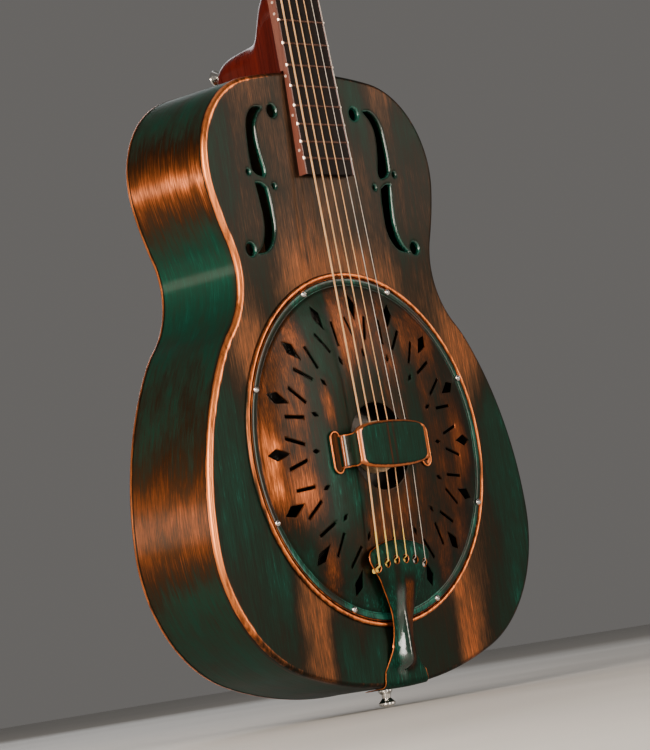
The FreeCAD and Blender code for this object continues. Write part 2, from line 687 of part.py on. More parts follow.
def post_bores():
    """The posts' holes, from each edge of the headstock into the web between the slots."""
    bores = []
    for side in (1, -1):
        for station in POST_STATIONS:
            start = V(side * 4.0, POST_DEPTH, station)
            bores.append(Part.makeCylinder(POST_RADIUS + 0.08, 40, start, X_AXIS * side))
    return Part.makeCompound(bores)


def headstock_parts(screws):
    """The headstock and the dark facing glued on its front."""
    base = prism_y(head_wire(), VENEER, HEAD_THICKNESS).cut([head_slots(), post_bores(), screws])
    veneer = prism_y(head_wire(), 0, VENEER).cut([head_slots(), screws])
    return base, veneer


def rod_cover():
    """The small bell-shaped cover over the truss rod's end."""
    right = [V(7, 0, 3.5), V(4.5, 0, 30)]
    left = [V(-4.5, 0, 30), V(-7, 0, 3.5)]
    wire = Part.makePolygon(right + [V(0, 0, 33)] + left + [right[0]])
    return prism_y(wire, -ROD_COVER_THICKNESS, 0)


def wood_screw(x, y, z, direction, head=2.4, length=9.0):
    """A round-head wood screw whose head seats at the given point."""
    profile = [(0, -1.7), (1.5, -1.5), (head, 0), (1.1, 0), (1.1, length - 2), (0, length)]
    screw = revolve_y(profile)
    turn = FreeCAD.Rotation(Y_AXIS, direction)
    screw.Placement = FreeCAD.Placement(V(x, y, z), turn)
    return screw


def head_screws():
    """Four screws in each tuner plate, and two in the truss rod's cover."""
    screws = []
    seat = HEAD_HALF + PLATE_THICKNESS
    for side in (1, -1):
        for station in PLATE_SCREWS:
            screws.append(wood_screw(side * seat, POST_DEPTH, station, X_AXIS * -side))
    for station in (27.5, 7.5):
        screws.append(wood_screw(0, -ROD_COVER_THICKNESS, station, Y_AXIS, head=1.9, length=8))
    return screws


def worm_station(station):
    return station + GEAR_PITCH_RADIUS + WORM_PITCH_RADIUS


def tuner_plate(side):
    """One side's plate, with a pair of tabs for each worm. Drawn on the treble side and mirrored."""
    outer = HEAD_HALF + PLATE_THICKNESS
    plate = box(HEAD_HALF, outer, 1.5, 16.0, PLATE_SCREWS[0] - 5, PLATE_SCREWS[-1] + 5)
    plate = plate.makeFillet(4.0, edges_along(plate, "YZ"))
    holes = []
    for station in POST_STATIONS:
        holes.append(Part.makeCylinder(SPINDLE_RADIUS + 0.05, 10, V(HEAD_HALF - 4, POST_DEPTH, station), X_AXIS))
        worm_z = worm_station(station)
        for y in TAB_DEPTHS:
            tab = box(HEAD_HALF + 0.6, GEAR_X + 3.6, y, y + TAB_SHEET, worm_z - 3.2, worm_z + 3.2)
            plate = plate.fuse(tab)
        holes.append(Part.makeCylinder(SHAFT_RADIUS + 0.05, 30, V(GEAR_X, -5, worm_z), Y_AXIS))
    plate = plate.cut(Part.makeCompound(holes)).removeSplitter()
    return plate if side > 0 else mirrored(plate)


def worm():
    """A right-hand screw along y, its groove facing the gear at mid-length."""
    length = WORM_SPAN[1] - WORM_SPAN[0]
    thread_length = length - 1.6
    root, tip = 1.9, 3.05
    half_root, half_tip = 0.52, 0.22
    turns = thread_length / WORM_PITCH
    section = Part.makePolygon([V(root - 0.2, 0, -half_root), V(tip, 0, -half_tip), V(tip, 0, half_tip),
                                V(root - 0.2, 0, half_root), V(root - 0.2, 0, -half_root)])
    thread = Part.Wire(Part.makeHelix(WORM_PITCH, thread_length, root)).makePipeShell([section], True, True)
    thread.rotate(ORIGIN, Z_AXIS, -360 * (turns / 2 + 0.5))
    thread.translate(V(0, 0, -thread_length / 2))
    screw = Part.makeCylinder(root, length, V(0, 0, -length / 2)).fuse(thread)
    screw.rotate(ORIGIN, X_AXIS, -90)
    screw.rotate(ORIGIN, Y_AXIS, WORM_TURN)
    return moved(screw, 0, sum(WORM_SPAN) / 2, 0)


def worm_shaft():
    """The worm on its shaft, from the front tab to the square under the button."""
    shaft = Part.makeCylinder(SHAFT_RADIUS, 25.5, V(0, 0.6, 0), Y_AXIS)
    collar = Part.makeCylinder(2.4, 1.0, V(0, 15.6, 0), Y_AXIS)
    return worm().fuse([shaft, collar])


def button():
    """An oval thumb button with a turned collar, bored for the shaft."""
    collar = Part.makeCone(3.0, 3.6, 4.0, V(0, BUTTON_START - 1.0, 0), Y_AXIS)
    matrix = FreeCAD.Matrix()
    matrix.scale(V(4.2, BUTTON_LENGTH / 2, 9.0))
    bean = Part.makeSphere(1.0).transformGeometry(matrix)
    bean = moved(bean, 0, BUTTON_START + 2.0 + BUTTON_LENGTH / 2, 0)
    bore = Part.makeCylinder(SHAFT_RADIUS, 26.1, ORIGIN, Y_AXIS)
    return bean.fuse(collar).cut(bore)


def gear():
    """A flat spur wheel on the post's end, with its retaining screw's head."""
    root, tip = GEAR_PITCH_RADIUS - 0.75, GEAR_PITCH_RADIUS + 0.5
    tooth = 360.0 / GEAR_TEETH
    points = []
    for number in range(GEAR_TEETH):
        for radius, share in ((root, -0.27), (tip, -0.105), (tip, 0.105), (root, 0.27)):
            angle = math.radians((number + share) * tooth)
            points.append(V(0, radius * math.sin(angle), radius * math.cos(angle)))
    wheel = moved(polygon_face(points).extrude(V(2 * GEAR_HALF, 0, 0)), GEAR_X - GEAR_HALF, 0, 0)
    head = Part.makeCylinder(2.6, 1.6, V(GEAR_X + GEAR_HALF, 0, 0), X_AXIS)
    return wheel.fuse(head).cut(box(GEAR_X + 2.2, GEAR_X + 4, -3, 3, -0.4, 0.4))


def post(capstan_x, string_radius):
    """The string post along x, waisted where the string winds, and the winding itself."""
    inner, outer = POST_INNER, HEAD_HALF - 0.2
    waist = Part.makeCylinder(CAPSTAN_RADIUS, 60, ORIGIN, X_AXIS)
    solid = Part.makeCylinder(POST_RADIUS, outer - inner, V(inner, 0, 0), X_AXIS)
    groove = Part.makeCylinder(POST_RADIUS + 1, SLOT_OUTER - SLOT_INNER - 2, V(SLOT_INNER + 1, 0, 0), X_AXIS)
    spindle = Part.makeCylinder(SPINDLE_RADIUS, GEAR_X - GEAR_HALF - outer + 0.1, V(outer - 0.1, 0, 0), X_AXIS)
    solid = solid.cut(groove.cut(waist)).fuse(spindle)
    width = WINDING_TURNS * 2 * string_radius
    start = capstan_x - string_radius - 0.15 - width
    coil = Part.makeCylinder(CAPSTAN_RADIUS + 2 * string_radius, width, V(start, 0, 0), X_AXIS)
    return [solid, coil.cut(waist)]


# ---- strings -----------------------------------------------------------------------------------
def string_offsets(spread):
    return [spread * (number / 5 - 0.5) for number in range(6)]


def string_points(number):
    """A string's bends: at its ball end, over the saddle, over the nut, and onto its post."""
    radius = STRING_RADII[number]
    side = -1 if number < 3 else 1
    hole_x = string_offsets(TAIL_SPREAD)[number]
    hole_z = tail_hole_station(hole_x)
    ball = V(hole_x, BALL_Y, hole_z - 1.6)
    lip = V(hole_x, tail_height(hole_z) - radius - 0.25, hole_z + 0.4)
    saddle = V(string_offsets(SADDLE_SPREAD)[number], SADDLE_TOP - radius - 0.12, SADDLE_Z)
    nut_x = string_offsets(NUT_SPREAD)[number]
    nut_front = point_through(to_neck, V(nut_x, NUT_TOP - radius - 0.1, NUT_ALONG + 0.2))
    station = POST_STATIONS[POST_OF_STRING[number]]
    top_of_post = POST_DEPTH - CAPSTAN_RADIUS - radius - 0.05
    on_post = point_through(to_head, V(side * CAPSTAN_X[number], top_of_post, station))
    return [ball, lip, saddle, nut_front, on_post]


def string(number):
    """A wire that runs straight from bend to bend, and the ball that holds it in the tailpiece."""
    points = string_points(number)
    route = Part.Wire([Part.LineSegment(*ends).toShape() for ends in zip(points, points[1:])])
    section = Part.Wire([Part.Circle(points[0], points[1].sub(points[0]), STRING_RADII[number]).toShape()])
    wire = route.makePipeShell([section], True, False, 1)
    ball = Part.makeCylinder(BALL_RADIUS, BALL_LENGTH, points[0] + V(-BALL_LENGTH / 2, 0.6, -1.2), X_AXIS)
    return [wire.cut(ball), ball]


# ---- assembly ----------------------------------------------------------------------------------
def write_body(pin_screw):
    """The skins, the well, the cone and what stands on it, and the pieces on the front."""
    cover_screws = [cover_screw(360 / SCREW_COUNT * (number + 0.5)) for number in range(SCREW_COUNT)]
    screw_group = Part.makeCompound(cover_screws)
    openings = [f_hole(), mirrored(f_hole()), Part.makeCylinder(WELL_RADIUS - 1, 10, V(0, -5, 0), Y_AXIS)]
    write("top_plate", lid(0, 1).fuse(cover_bead()).cut(openings).cut(screw_group))
    wall = prism_y(outline(SIDE_INSET), LID_DEPTH, BODY_DEPTH - LID_DEPTH)
    wall = wall.cut(prism_y(outline(SIDE_INSET + SKIN), 0, BODY_DEPTH))
    write("body_sides", wall.cut([neck_stick(), pin_screw]))
    write("back_plate", lid(BODY_DEPTH, -1))
    write("soundwell", soundwell())
    biscuit, saddle, biscuit_screw = biscuit_and_saddle()
    write("cone", cone().cut(biscuit_screw))
    write("biscuit", biscuit)
    write("saddle", saddle)
    write("biscuit_screw", biscuit_screw)
    write("coverplate", coverplate().cut(screw_group))
    write("coverplate_screws", *cover_screws)
    write("handrest", handrest())
    write("tailpiece", tailpiece())


def write_neck(heel_screw):
    """The neck with its rod, the fretboard and its trim, and the nut."""
    rod = truss_rod()
    write("truss_rod", rod)
    write("neck", neck().cut([heel_screw, rod]))
    dots = [side_dot(*place) for place in SIDE_DOTS]
    core = fretboard_blank(BINDING)
    write("fretboard", core)
    binding = fretboard_blank(0).cut(core).cut(dots)
    write("fretboard_binding", *binding.Solids)
    write("frets", *[fret(number + 1) for number in range(FRET_COUNT)])
    write("side_dots", *dots)
    write("nut", nut())


def write_headstock():
    """The headstock, its facing and rod cover, and the tuner plates with their screws."""
    screws = head_screws()
    screw_group = Part.makeCompound(screws)
    base, veneer = headstock_parts(screw_group)
    taken = nut_and_neck_room()
    write("headstock", to_head(base).cut(taken))
    write("headstock_veneer", to_head(veneer).cut(taken))
    write("truss_rod_cover", to_head(rod_cover().cut(screw_group)))
    write("headstock_screws", *[to_head(screw) for screw in screws])
    write("tuner_plate_treble", to_head(tuner_plate(1).cut(screw_group)))
    write("tuner_plate_bass", to_head(tuner_plate(-1).cut(screw_group)))


def nut_and_neck_room():
    """The space that the nut and the neck's shaft fill, kept out of the headstock."""
    return to_neck(box(-60, 60, -40, 60, 0, NUT_ALONG + 1)).fuse(nut())


def write_tuner(number):
    """One tuning machine: button and worm shaft on one body, gear and post on another."""
    side = -1 if number < 3 else 1
    label = str(6 - number)
    station = POST_STATIONS[POST_OF_STRING[number]]
    shaft_place = (side * GEAR_X, 0, worm_station(station))
    turning = [gear()] + post(CAPSTAN_X[number], STRING_RADII[number])
    if side < 0:
        turning = [mirrored(shape) for shape in turning]
    wheel, roller, winding = [to_head(moved(shape, 0, POST_DEPTH, station)) for shape in turning]
    write("worm_shaft_" + label, to_head(moved(worm_shaft(), *shaft_place)))
    write("button_" + label, to_head(moved(button(), *shaft_place)))
    write("gear_" + label, wheel)
    write("string_post_" + label, roller, winding)


def build():
    os.makedirs("parts", exist_ok=True)
    pin_screw = end_pin_place(strap_screw())
    heel_screw = heel_button_place(strap_screw())
    write_body(pin_screw)
    write_neck(heel_screw)
    write_headstock()
    write("end_pin", end_pin_place(strap_button()))
    write("heel_button", heel_button_place(strap_button()))
    write("strap_button_screws", pin_screw, heel_screw)
    write("tail_block", tail_block().cut(pin_screw))
    write("neck_stick", neck_stick().common(prism_y(outline(), 0, BODY_DEPTH)))
    for number in range(6):
        write("string_" + str(6 - number), *string(number))
        write_tuner(number)


build()
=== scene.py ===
"""Looks of the resonator guitar: pressed metal skins, patina, wood, strings, light and camera.

Shapes are worked out in millimetres about the bridge: x towards the treble side, y into the body
from the top plate's face, z up the neck from the centre of the coverplate. place() turns such a
point into the frame's metres.
"""
import json
import math

import bmesh
import bpy
import numpy as np
from mathutils import Matrix, Vector
from mathutils.geometry import delaunay_2d_cdt


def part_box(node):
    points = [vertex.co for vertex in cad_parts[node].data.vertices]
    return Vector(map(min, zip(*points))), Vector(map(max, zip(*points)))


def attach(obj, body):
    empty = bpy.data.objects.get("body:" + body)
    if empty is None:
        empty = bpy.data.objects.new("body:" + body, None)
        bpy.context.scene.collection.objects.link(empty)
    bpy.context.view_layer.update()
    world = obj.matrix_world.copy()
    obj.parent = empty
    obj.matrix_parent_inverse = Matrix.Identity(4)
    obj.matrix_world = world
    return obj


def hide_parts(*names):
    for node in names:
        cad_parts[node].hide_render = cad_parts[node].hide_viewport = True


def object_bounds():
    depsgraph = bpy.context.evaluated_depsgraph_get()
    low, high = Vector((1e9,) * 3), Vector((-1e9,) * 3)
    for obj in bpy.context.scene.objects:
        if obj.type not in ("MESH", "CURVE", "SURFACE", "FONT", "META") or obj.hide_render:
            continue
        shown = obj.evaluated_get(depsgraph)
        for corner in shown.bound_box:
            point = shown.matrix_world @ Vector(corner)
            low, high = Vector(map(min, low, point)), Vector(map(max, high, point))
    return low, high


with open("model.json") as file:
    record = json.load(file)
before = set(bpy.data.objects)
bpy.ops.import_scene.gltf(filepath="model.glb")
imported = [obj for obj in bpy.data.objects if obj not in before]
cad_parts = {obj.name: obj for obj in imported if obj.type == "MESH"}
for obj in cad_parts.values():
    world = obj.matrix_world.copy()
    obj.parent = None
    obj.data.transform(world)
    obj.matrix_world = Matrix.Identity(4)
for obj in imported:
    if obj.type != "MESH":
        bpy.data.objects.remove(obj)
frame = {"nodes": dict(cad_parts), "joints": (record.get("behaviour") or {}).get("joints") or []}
cad_low, cad_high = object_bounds()
NODES = frame["nodes"]
MM = 0.001

# ---- the bridge frame ----
LID_DEPTH = 4.5
EDGE_RADIUS = 3.0
# the right half's arcs from the tail up: radius, and turn in degrees, negative at the waist
OUTLINE_ARCS = (
    (335.6, 19.2), (110.3, 71.26), (252.5, 32.31), (93.7, 12.08),
    (61.9, -67.19), (232.8, 10.09), (71.3, 92.87), (445.1, 9.38),
)

cover_low, cover_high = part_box("coverplate")
top_low, top_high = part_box("top_plate")
BRIDGE = Vector((0.0, top_high.y - LID_DEPTH * MM, (cover_low.z + cover_high.z) / 2))
TAIL_Z = (top_low.z - BRIDGE.z) / MM
COVER_RADIUS = (cover_high.x - cover_low.x) / 2 / MM
BODY_DEPTH = (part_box("back_plate")[1].y - BRIDGE.y) / MM
BODY_MIDDLE = (0.0, BODY_DEPTH / 2, 40.0)


def place(x, y, z):
    """A point about the bridge in mm, as a point in the frame in metres."""
    return (x * MM + BRIDGE.x, y * MM + BRIDGE.y, z * MM + BRIDGE.z)


def smoothstep(low, high, value):
    """A smooth rise from 0 at low to 1 at high."""
    share = np.clip((np.asarray(value, float) - low) / (high - low), 0, 1)
    return share * share * (3 - 2 * share)


def fade(value, near, far):
    """A smooth fall from 1 at near to 0 at far."""
    return 1 - smoothstep(near, far, value)


# ---- outlines ----
SEARCH_REACH = 8.0
FAR = 1e9
MERGE_CELL = 0.3
LEAST_GAP = 0.25


def outline(inset, step=3.0):
    """The body's outline as (x, z) points, anticlockwise from the tail, the same count at any inset."""
    x, z, heading = 0.0, TAIL_Z + inset, 0.0
    right = []
    for radius, sweep in OUTLINE_ARCS:
        side = 1 if sweep > 0 else -1
        r = radius - side * inset
        centre = (x - side * r * math.sin(heading), z + side * r * math.cos(heading))
        count = max(2, round(radius * math.radians(abs(sweep)) / step))
        for number in range(count):
            angle = heading + math.radians(sweep) * number / count
            right.append((centre[0] + side * r * math.sin(angle), centre[1] - side * r * math.cos(angle)))
        heading += math.radians(sweep)
        x = centre[0] + side * r * math.sin(heading)
        z = centre[1] - side * r * math.cos(heading)
    right.append((0.0, z))
    left = [(-px, pz) for px, pz in reversed(right[1:-1])]
    return np.array(right + left)


def circle(radius, count, centre=(0.0, 0.0)):
    """A circle as (x, z) points."""
    turns = np.arange(count) * 2 * math.pi / count
    return np.stack([centre[0] + radius * np.cos(turns), centre[1] + radius * np.sin(turns)], 1)


def smooth_curve(points, step=1.2):
    """A curve through the points, sampled about every step, without its last point."""
    p = np.array(points, float)
    p = np.vstack([2 * p[0] - p[1], p, 2 * p[-1] - p[-2]])
    found = []
    for a, b, c, d in zip(p, p[1:], p[2:], p[3:]):
        count = max(1, round(np.hypot(*(c - b)) / step))
        for t in np.arange(count) / count:
            found.append(0.5 * (2 * b + (c - a) * t + (2 * a - 5 * b + 4 * c - d) * t ** 2
                                + (3 * b - a - 3 * c + d) * t ** 3))
    return found


def straight_sides(corners, step):
    """A polygon with points every step or so along its sides."""
    corners = np.array(corners, float)
    found = []
    for a, b in zip(corners, np.roll(corners, -1, 0)):
        count = max(1, math.ceil(np.hypot(*(b - a)) / step))
        found += [a + (b - a) * k / count for k in range(count)]
    return np.array(found)


def run_lengths(points):
    """The length along a line up to each of its points."""
    return np.concatenate([[0], np.cumsum(np.linalg.norm(np.diff(points, axis=0), axis=1))])


def distance_to(points, loops):
    """Each point's distance to the nearest of some closed loops, exact up to SEARCH_REACH."""
    best = np.full(len(points), FAR)
    for loop in loops:
        a, b = loop, np.roll(loop, -1, 0)
        low, high = loop.min(0) - SEARCH_REACH, loop.max(0) + SEARCH_REACH
        near = np.all((points > low) & (points < high), axis=1)
        if not near.any():
            continue
        p = points[near][:, None, :]
        d = b - a
        t = np.clip(((p - a) * d).sum(2) / (d * d).sum(1), 0, 1)
        gap = np.linalg.norm(p - (a + t[..., None] * d), axis=2).min(1)
        best[near] = np.minimum(best[near], gap)
    return best


def inside(points, loop):
    """Whether each point is in a closed loop."""
    x, z = points[:, 0], points[:, 1]
    found = np.zeros(len(points), bool)
    for (x0, z0), (x1, z1) in zip(loop, np.roll(loop, -1, 0)):
        if z0 != z1:
            crosses = (z0 > z) != (z1 > z)
            found ^= crosses & (x < (x1 - x0) * (z - z0) / (z1 - z0) + x0)
    return found


def inside_any(points, loops):
    """Whether each point is in at least one of some closed loops."""
    found = np.zeros(len(points), bool)
    for loop in loops:
        near = np.all((points >= loop.min(0)) & (points <= loop.max(0)), axis=1)
        if near.any():
            found[near] |= inside(points[near], loop)
    return found


def rings_around(loop, offsets):
    """Points at a few distances outside a closed loop, to carry a rolled edge."""
    before, after = np.roll(loop, 1, 0), np.roll(loop, -1, 0)
    along = after - before
    normal = np.stack([along[:, 1], -along[:, 0]], 1)
    normal /= np.linalg.norm(normal, axis=1)[:, None] + 1e-9
    area = (loop[:, 0] * after[:, 1] - after[:, 0] * loop[:, 1]).sum()
    if area < 0:
        normal = -normal
    return [loop + normal * offset for offset in offsets]


def flat_sheet(border, holes, grid, offsets):
    """Triangulates the region in border and outside holes.

    Rings of points at the given offsets follow each hole. Returns the points, the triangles, and the
    border's and then each hole's points in order.
    """
    free = [grid]
    for hole in holes:
        for offset, ring in zip(offsets, rings_around(hole, offsets)):
            keep = distance_to(ring, holes) > 0.93 * offset
            free.append(ring[keep])
    free = np.vstack(free)
    free = free[inside(free, border) & ~inside_any(free, holes)]
    nearest = np.minimum(distance_to(free, holes), distance_to(free, [border]))
    free = free[nearest > LEAST_GAP]
    kept = {}
    for point in free:
        kept.setdefault((round(point[0] / MERGE_CELL), round(point[1] / MERGE_CELL)), point)
    loops = [border] + list(holes)
    points = np.vstack(loops + [np.array(list(kept.values()))])
    edges, start, numbered = [], 0, []
    for loop in loops:
        numbers = list(range(start, start + len(loop)))
        edges += list(zip(numbers, numbers[1:] + numbers[:1]))
        numbered.append(numbers)
        start += len(loop)
    made = delaunay_2d_cdt([Vector(p) for p in points], edges, [], 0, 1e-7)
    flat = np.array([tuple(v) for v in made[0]])
    triangles = np.array([tuple(f) for f in made[2]])
    centres = flat[triangles].mean(1)
    keep = inside(centres, border) & ~inside_any(centres, holes)
    given = {old: new for new, olds in enumerate(made[3]) for old in olds}
    numbered = [[given[n] for n in numbers] for numbers in numbered]
    return flat, triangles[keep], numbered


# ---- meshes ----
CREASE = 38


def at_depth(loop, y):
    """(x, z) points as (x, y, z) points. y is one depth, or one for each point."""
    return np.column_stack([loop[:, 0], np.broadcast_to(y, len(loop)), loop[:, 1]])


class Sheet:
    """A thin skin under construction: points with a wear value, and faces. On the top's rim the wear value
    also holds a painted highlight.
    """

    def __init__(self):
        self.points, self.wear, self.faces = [], [], []

    def add(self, points, wear):
        """Adds points, each (x, y, z) about the bridge, and returns their numbers."""
        start = len(self.points)
        self.points += [tuple(p) for p in points]
        self.wear += list(np.broadcast_to(wear, (len(points),)))
        return list(range(start, start + len(points)))

    def band(self, first, second, closed=True):
        """Joins two rows of points of the same length with four-sided faces."""
        pairs = list(zip(first, second))
        following = pairs[1:] + pairs[:1] if closed else pairs[1:]
        for (a, b), (c, d) in zip(pairs, following):
            self.faces.append((a, c, d, b))

    def grow(self, row, points, wear):
        """Adds a row of points, joins it to an earlier row, and returns it."""
        added = self.add(points, wear)
        self.band(row, added)
        return added

    def flat(self, points, triangles, wear):
        """Adds a triangulated region and returns its points' numbers as an array."""
        numbers = np.array(self.add(points, wear))
        self.faces += [tuple(face) for face in numbers[triangles].tolist()]
        return numbers

    def object(self, name, thickness):
        """Makes the object, with its faces turned away from the middle of the body."""
        mesh = bpy.data.meshes.new(name)
        mesh.from_pydata([place(*p) for p in self.points], [], self.faces)
        wear = mesh.attributes.new("wear", "FLOAT", "POINT")
        wear.data.foreach_set("value", np.array(self.wear, np.float32))
        work = bmesh.new()
        work.from_mesh(mesh)
        bmesh.ops.remove_doubles(work, verts=work.verts, dist=0.02 * MM)
        loose = [v for v in work.verts if not v.link_faces]
        bmesh.ops.delete(work, geom=loose, context="VERTS")
        bmesh.ops.recalc_face_normals(work, faces=work.faces)
        heart = Vector(place(*BODY_MIDDLE))
        facing = sum(f.normal.dot(f.calc_center_median() - heart) * f.calc_area() for f in work.faces)
        if facing < 0:
            bmesh.ops.reverse_faces(work, faces=work.faces)
        work.to_mesh(mesh)
        work.free()
        made = bpy.data.objects.new(name, mesh)
        bpy.context.scene.collection.objects.link(made)
        if thickness:
            thicken(made, thickness).thickness_clamp = 1.0
            apply_modifiers(made)
        shade(made)
        return made


def thicken(made, thickness):
    """Gives a sheet its thickness in mm, inwards, and returns the modifier."""
    solid = made.modifiers.new("sheet", "SOLIDIFY")
    solid.thickness = thickness * MM
    solid.offset = -1
    solid.use_even_offset = True
    return solid


def apply_modifiers(made):
    """Replaces an object's mesh with the one its modifiers make."""
    graph = bpy.context.evaluated_depsgraph_get()
    mesh = bpy.data.meshes.new_from_object(made.evaluated_get(graph))
    made.modifiers.clear()
    made.data = mesh


def shade(made, angle=CREASE):
    """Smooth shading, with the edges sharper than angle left crisp."""
    mesh = made.data
    mesh.shade_smooth()
    mesh.set_sharp_from_angle(angle=math.radians(angle))


def paint(made, material):
    """Makes a material the only one of an object."""
    made.data.materials.clear()
    made.data.materials.append(material)


def finish_piece(piece, node, material, body="root"):
    """Gives a piece its material, and lets it stand for a CAD node on a body."""
    paint(piece, material)
    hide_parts(node)
    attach(piece, body)


# ---- top plate ----
UPPER_LOBE = (
    ((-59.4, 262.4), (-68, 262.3), (-75, 257.3), (-79, 249), (-80.3, 238), (-81, 226), (-80.6, 215)),
    ((-80.6, 215), (-76.2, 211.2), (-68.5, 209.1)),
    ((-68.5, 209.1), (-66.6, 213.5), (-69.1, 226), (-70.6, 237.5), (-69.9, 248), (-66.2, 256),
     (-59.4, 262.4)),
)
LOWER_LOBE = (
    ((-79, 204.6), (-73, 204), (-67, 200.7)),
    ((-67, 200.7), (-65.7, 192), (-65.2, 180), (-65.7, 168.7), (-69.8, 159.1), (-77.2, 152.8),
     (-88.2, 150.9)),
    ((-88.2, 150.9), (-82.3, 156), (-78.1, 163.9), (-76, 175.1), (-76.7, 188), (-79, 204.6)),
)
F_CIRCLES = ((-48, 260, 5.0), (-96, 154, 5.0), (-59, 202, 2.1), (-85.5, 212.6, 2.1))
CIRCLE_SIDES_PER_MM = 6
BEAD_GAP = 0.4
BEAD_HALF = 2.0
BEAD_HEIGHT = 2.3
BEAD_FOOT = COVER_RADIUS + BEAD_GAP + 2 * BEAD_HALF
WELL_HOLE = 123.5
LEDGE_Y = 0.05
RING_POINTS = 240
QUARTER_TURN = np.radians(np.arange(15, 91, 15))
HALF_TURN = np.radians(np.arange(15, 181, 15))
# wear: how bare the metal is, up to 1; mostly rubbed, but on the bass side of the top's rim partly a painted
# highlight. Below 0 the patina is kept, and glossy.
# The middle value is a painted highlight on the bass side of the top's rim, not wear.
RIM_WEAR, BASS_RIM_HIGHLIGHT, SEAM_WEAR = 0.46, 0.40, 0.35
BEAD_WEAR = 0.42
BACK_RIM_WEAR = 0.84
F_EDGE_WEAR, F_WALL_WEAR = -0.4, -0.3
PLATE_SHEET = 0.9


def f_hole_loops():
    """Both f-holes: two lobes, two end circles and two dots on each side."""
    bass = []
    for lobe in (UPPER_LOBE, LOWER_LOBE):
        bass.append(np.array([p for side in lobe for p in smooth_curve(side)]))
    for x, z, radius in F_CIRCLES:
        bass.append(circle(radius, max(16, round(radius * CIRCLE_SIDES_PER_MM)), (x, z)))
    return bass + [loop * (-1, 1) for loop in bass]


def rolled(distance, reach, drop):
    """How far an edge is pressed in at some distance from its hole."""
    share = np.clip(1 - distance / reach, 0, 1)
    return drop * (1 - np.sqrt(np.clip(1 - share ** 2, 0, 1)))


def grid_points(border, spacing):
    """Staggered rows of points over a border's box."""
    low, high = border.min(0), border.max(0)
    rows = []
    for number, z in enumerate(np.arange(low[1], high[1], spacing * 0.87)):
        shift = spacing / 2 if number % 2 else 0
        rows += [(x, z) for x in np.arange(low[0] + shift, high[0], spacing)]
    return np.array(rows)


def bass_rim_highlight(points):
    """Painted highlight on the rim at (x, z) points, from 0 to 1: most on the bass side, above the tail,
    fading out towards the tail as painted shade.
    """
    return fade(points[:, 0], -110.0, 10.0) * smoothstep(-172.0, -104.0, points[:, 1])


def rim_rows():
    """Two rows of points just inside the turned rim, to carry its wear."""
    return [outline(EDGE_RADIUS + 1.2), outline(EDGE_RADIUS + 3.6)[::2]]


def turned_rim(sheet, row, face_y, into, wear):
    """Turns a plate's edge over by a quarter circle and on to the wall. into, 1 or -1, points inwards."""
    for turn in QUARTER_TURN:
        ring = outline(EDGE_RADIUS * (1 - math.sin(turn)))
        row = sheet.grow(row, at_depth(ring, face_y + into * EDGE_RADIUS * (1 - math.cos(turn))), wear(ring))
    sheet.grow(row, at_depth(outline(0.0), face_y + into * LID_DEPTH), SEAM_WEAR)


def top_rim_wear_and_highlight(points):
    """The wear of the top's rim at (x, z) points, with a painted highlight added on the bass side."""
    return RIM_WEAR + BASS_RIM_HIGHLIGHT * bass_rim_highlight(points)


def top_plate_skin():
    """The pressed top: flat face, f-holes with rolled-in edges, bead round the cover, turned rim."""
    reach, drop, wall = 1.9, 1.5, 3.4
    border = outline(EDGE_RADIUS)
    bead_foot = circle(BEAD_FOOT, RING_POINTS)
    f_holes = f_hole_loops()
    grid = grid_points(border, 6.0)
    grid = grid[(distance_to(grid, f_holes) > 4.2) & (np.hypot(*grid.T) > COVER_RADIUS + 9)]
    grid = grid[distance_to(grid, [border]) > 4.0]
    around = [circle(COVER_RADIUS + 5.2, RING_POINTS), circle(COVER_RADIUS + 7.2, RING_POINTS // 2)]
    grid = np.vstack([grid] + rim_rows() + around)
    flat, triangles, loops = flat_sheet(border, [bead_foot] + f_holes, grid, (0.35, 0.75, 1.25, 1.9, 3.0))
    gap = distance_to(flat, f_holes)
    # The bare band reaches further in on the bass side, where the painted highlight is.
    rim_reach = 1.4 + 1.8 * bass_rim_highlight(flat)
    wear = top_rim_wear_and_highlight(flat) * fade(distance_to(flat, [border]), 0.0, rim_reach)
    wear = np.maximum(wear, SEAM_WEAR * fade(distance_to(flat, [bead_foot]), 0.0, 2.5))
    wear = wear - 0.10 * fade(gap, 1.0, 4.0) - 0.28 * fade(gap, 0.6, 1.5)
    sheet = Sheet()
    numbers = sheet.flat(at_depth(flat, rolled(gap, reach, drop)), triangles, wear)
    for loop in loops[2:]:
        row = sheet.grow(numbers[loop], at_depth(flat[loop], drop + 0.8), F_EDGE_WEAR)
        sheet.grow(row, at_depth(flat[loop], wall), F_WALL_WEAR)
    turned_rim(sheet, numbers[loops[0]], 0.0, 1, top_rim_wear_and_highlight)
    row = numbers[loops[1]]
    for turn in HALF_TURN:
        ring = circle(BEAD_FOOT - BEAD_HALF * (1 - math.cos(turn)), RING_POINTS)
        height = math.sin(turn)
        row = sheet.grow(row, at_depth(ring, -BEAD_HEIGHT * height), BEAD_WEAR * (1 + height))
    for radius in (COVER_RADIUS - BEAD_GAP, WELL_HOLE + 1, WELL_HOLE):
        row = sheet.grow(row, at_depth(circle(radius, RING_POINTS), LEDGE_Y), 0.0)
    return sheet.object("top_plate_skin", PLATE_SHEET)


# ---- coverplate ----
# radius and depth, from the centre hole out to the foot
DOME = ((33.0, -12.0), (52.0, -11.4), (72.0, -10.0), (90.0, -8.1), (108.6, -5.5), (124.0, -2.3))
CENTRE_POINTS = 96
COVER_DEPTH = 1.0
RAYS = 16
KITE = ((118.2, 0), (110.3, 4.5), (98.0, 0), (110.3, -4.5))
DIAMOND = ((75.4, 0), (71.8, 1.6), (68.3, 0), (71.8, -1.6))
SLOT_ENDS = ((100.0, 11.5), (81.8, 5.8))
SLOT_HALF = 1.1
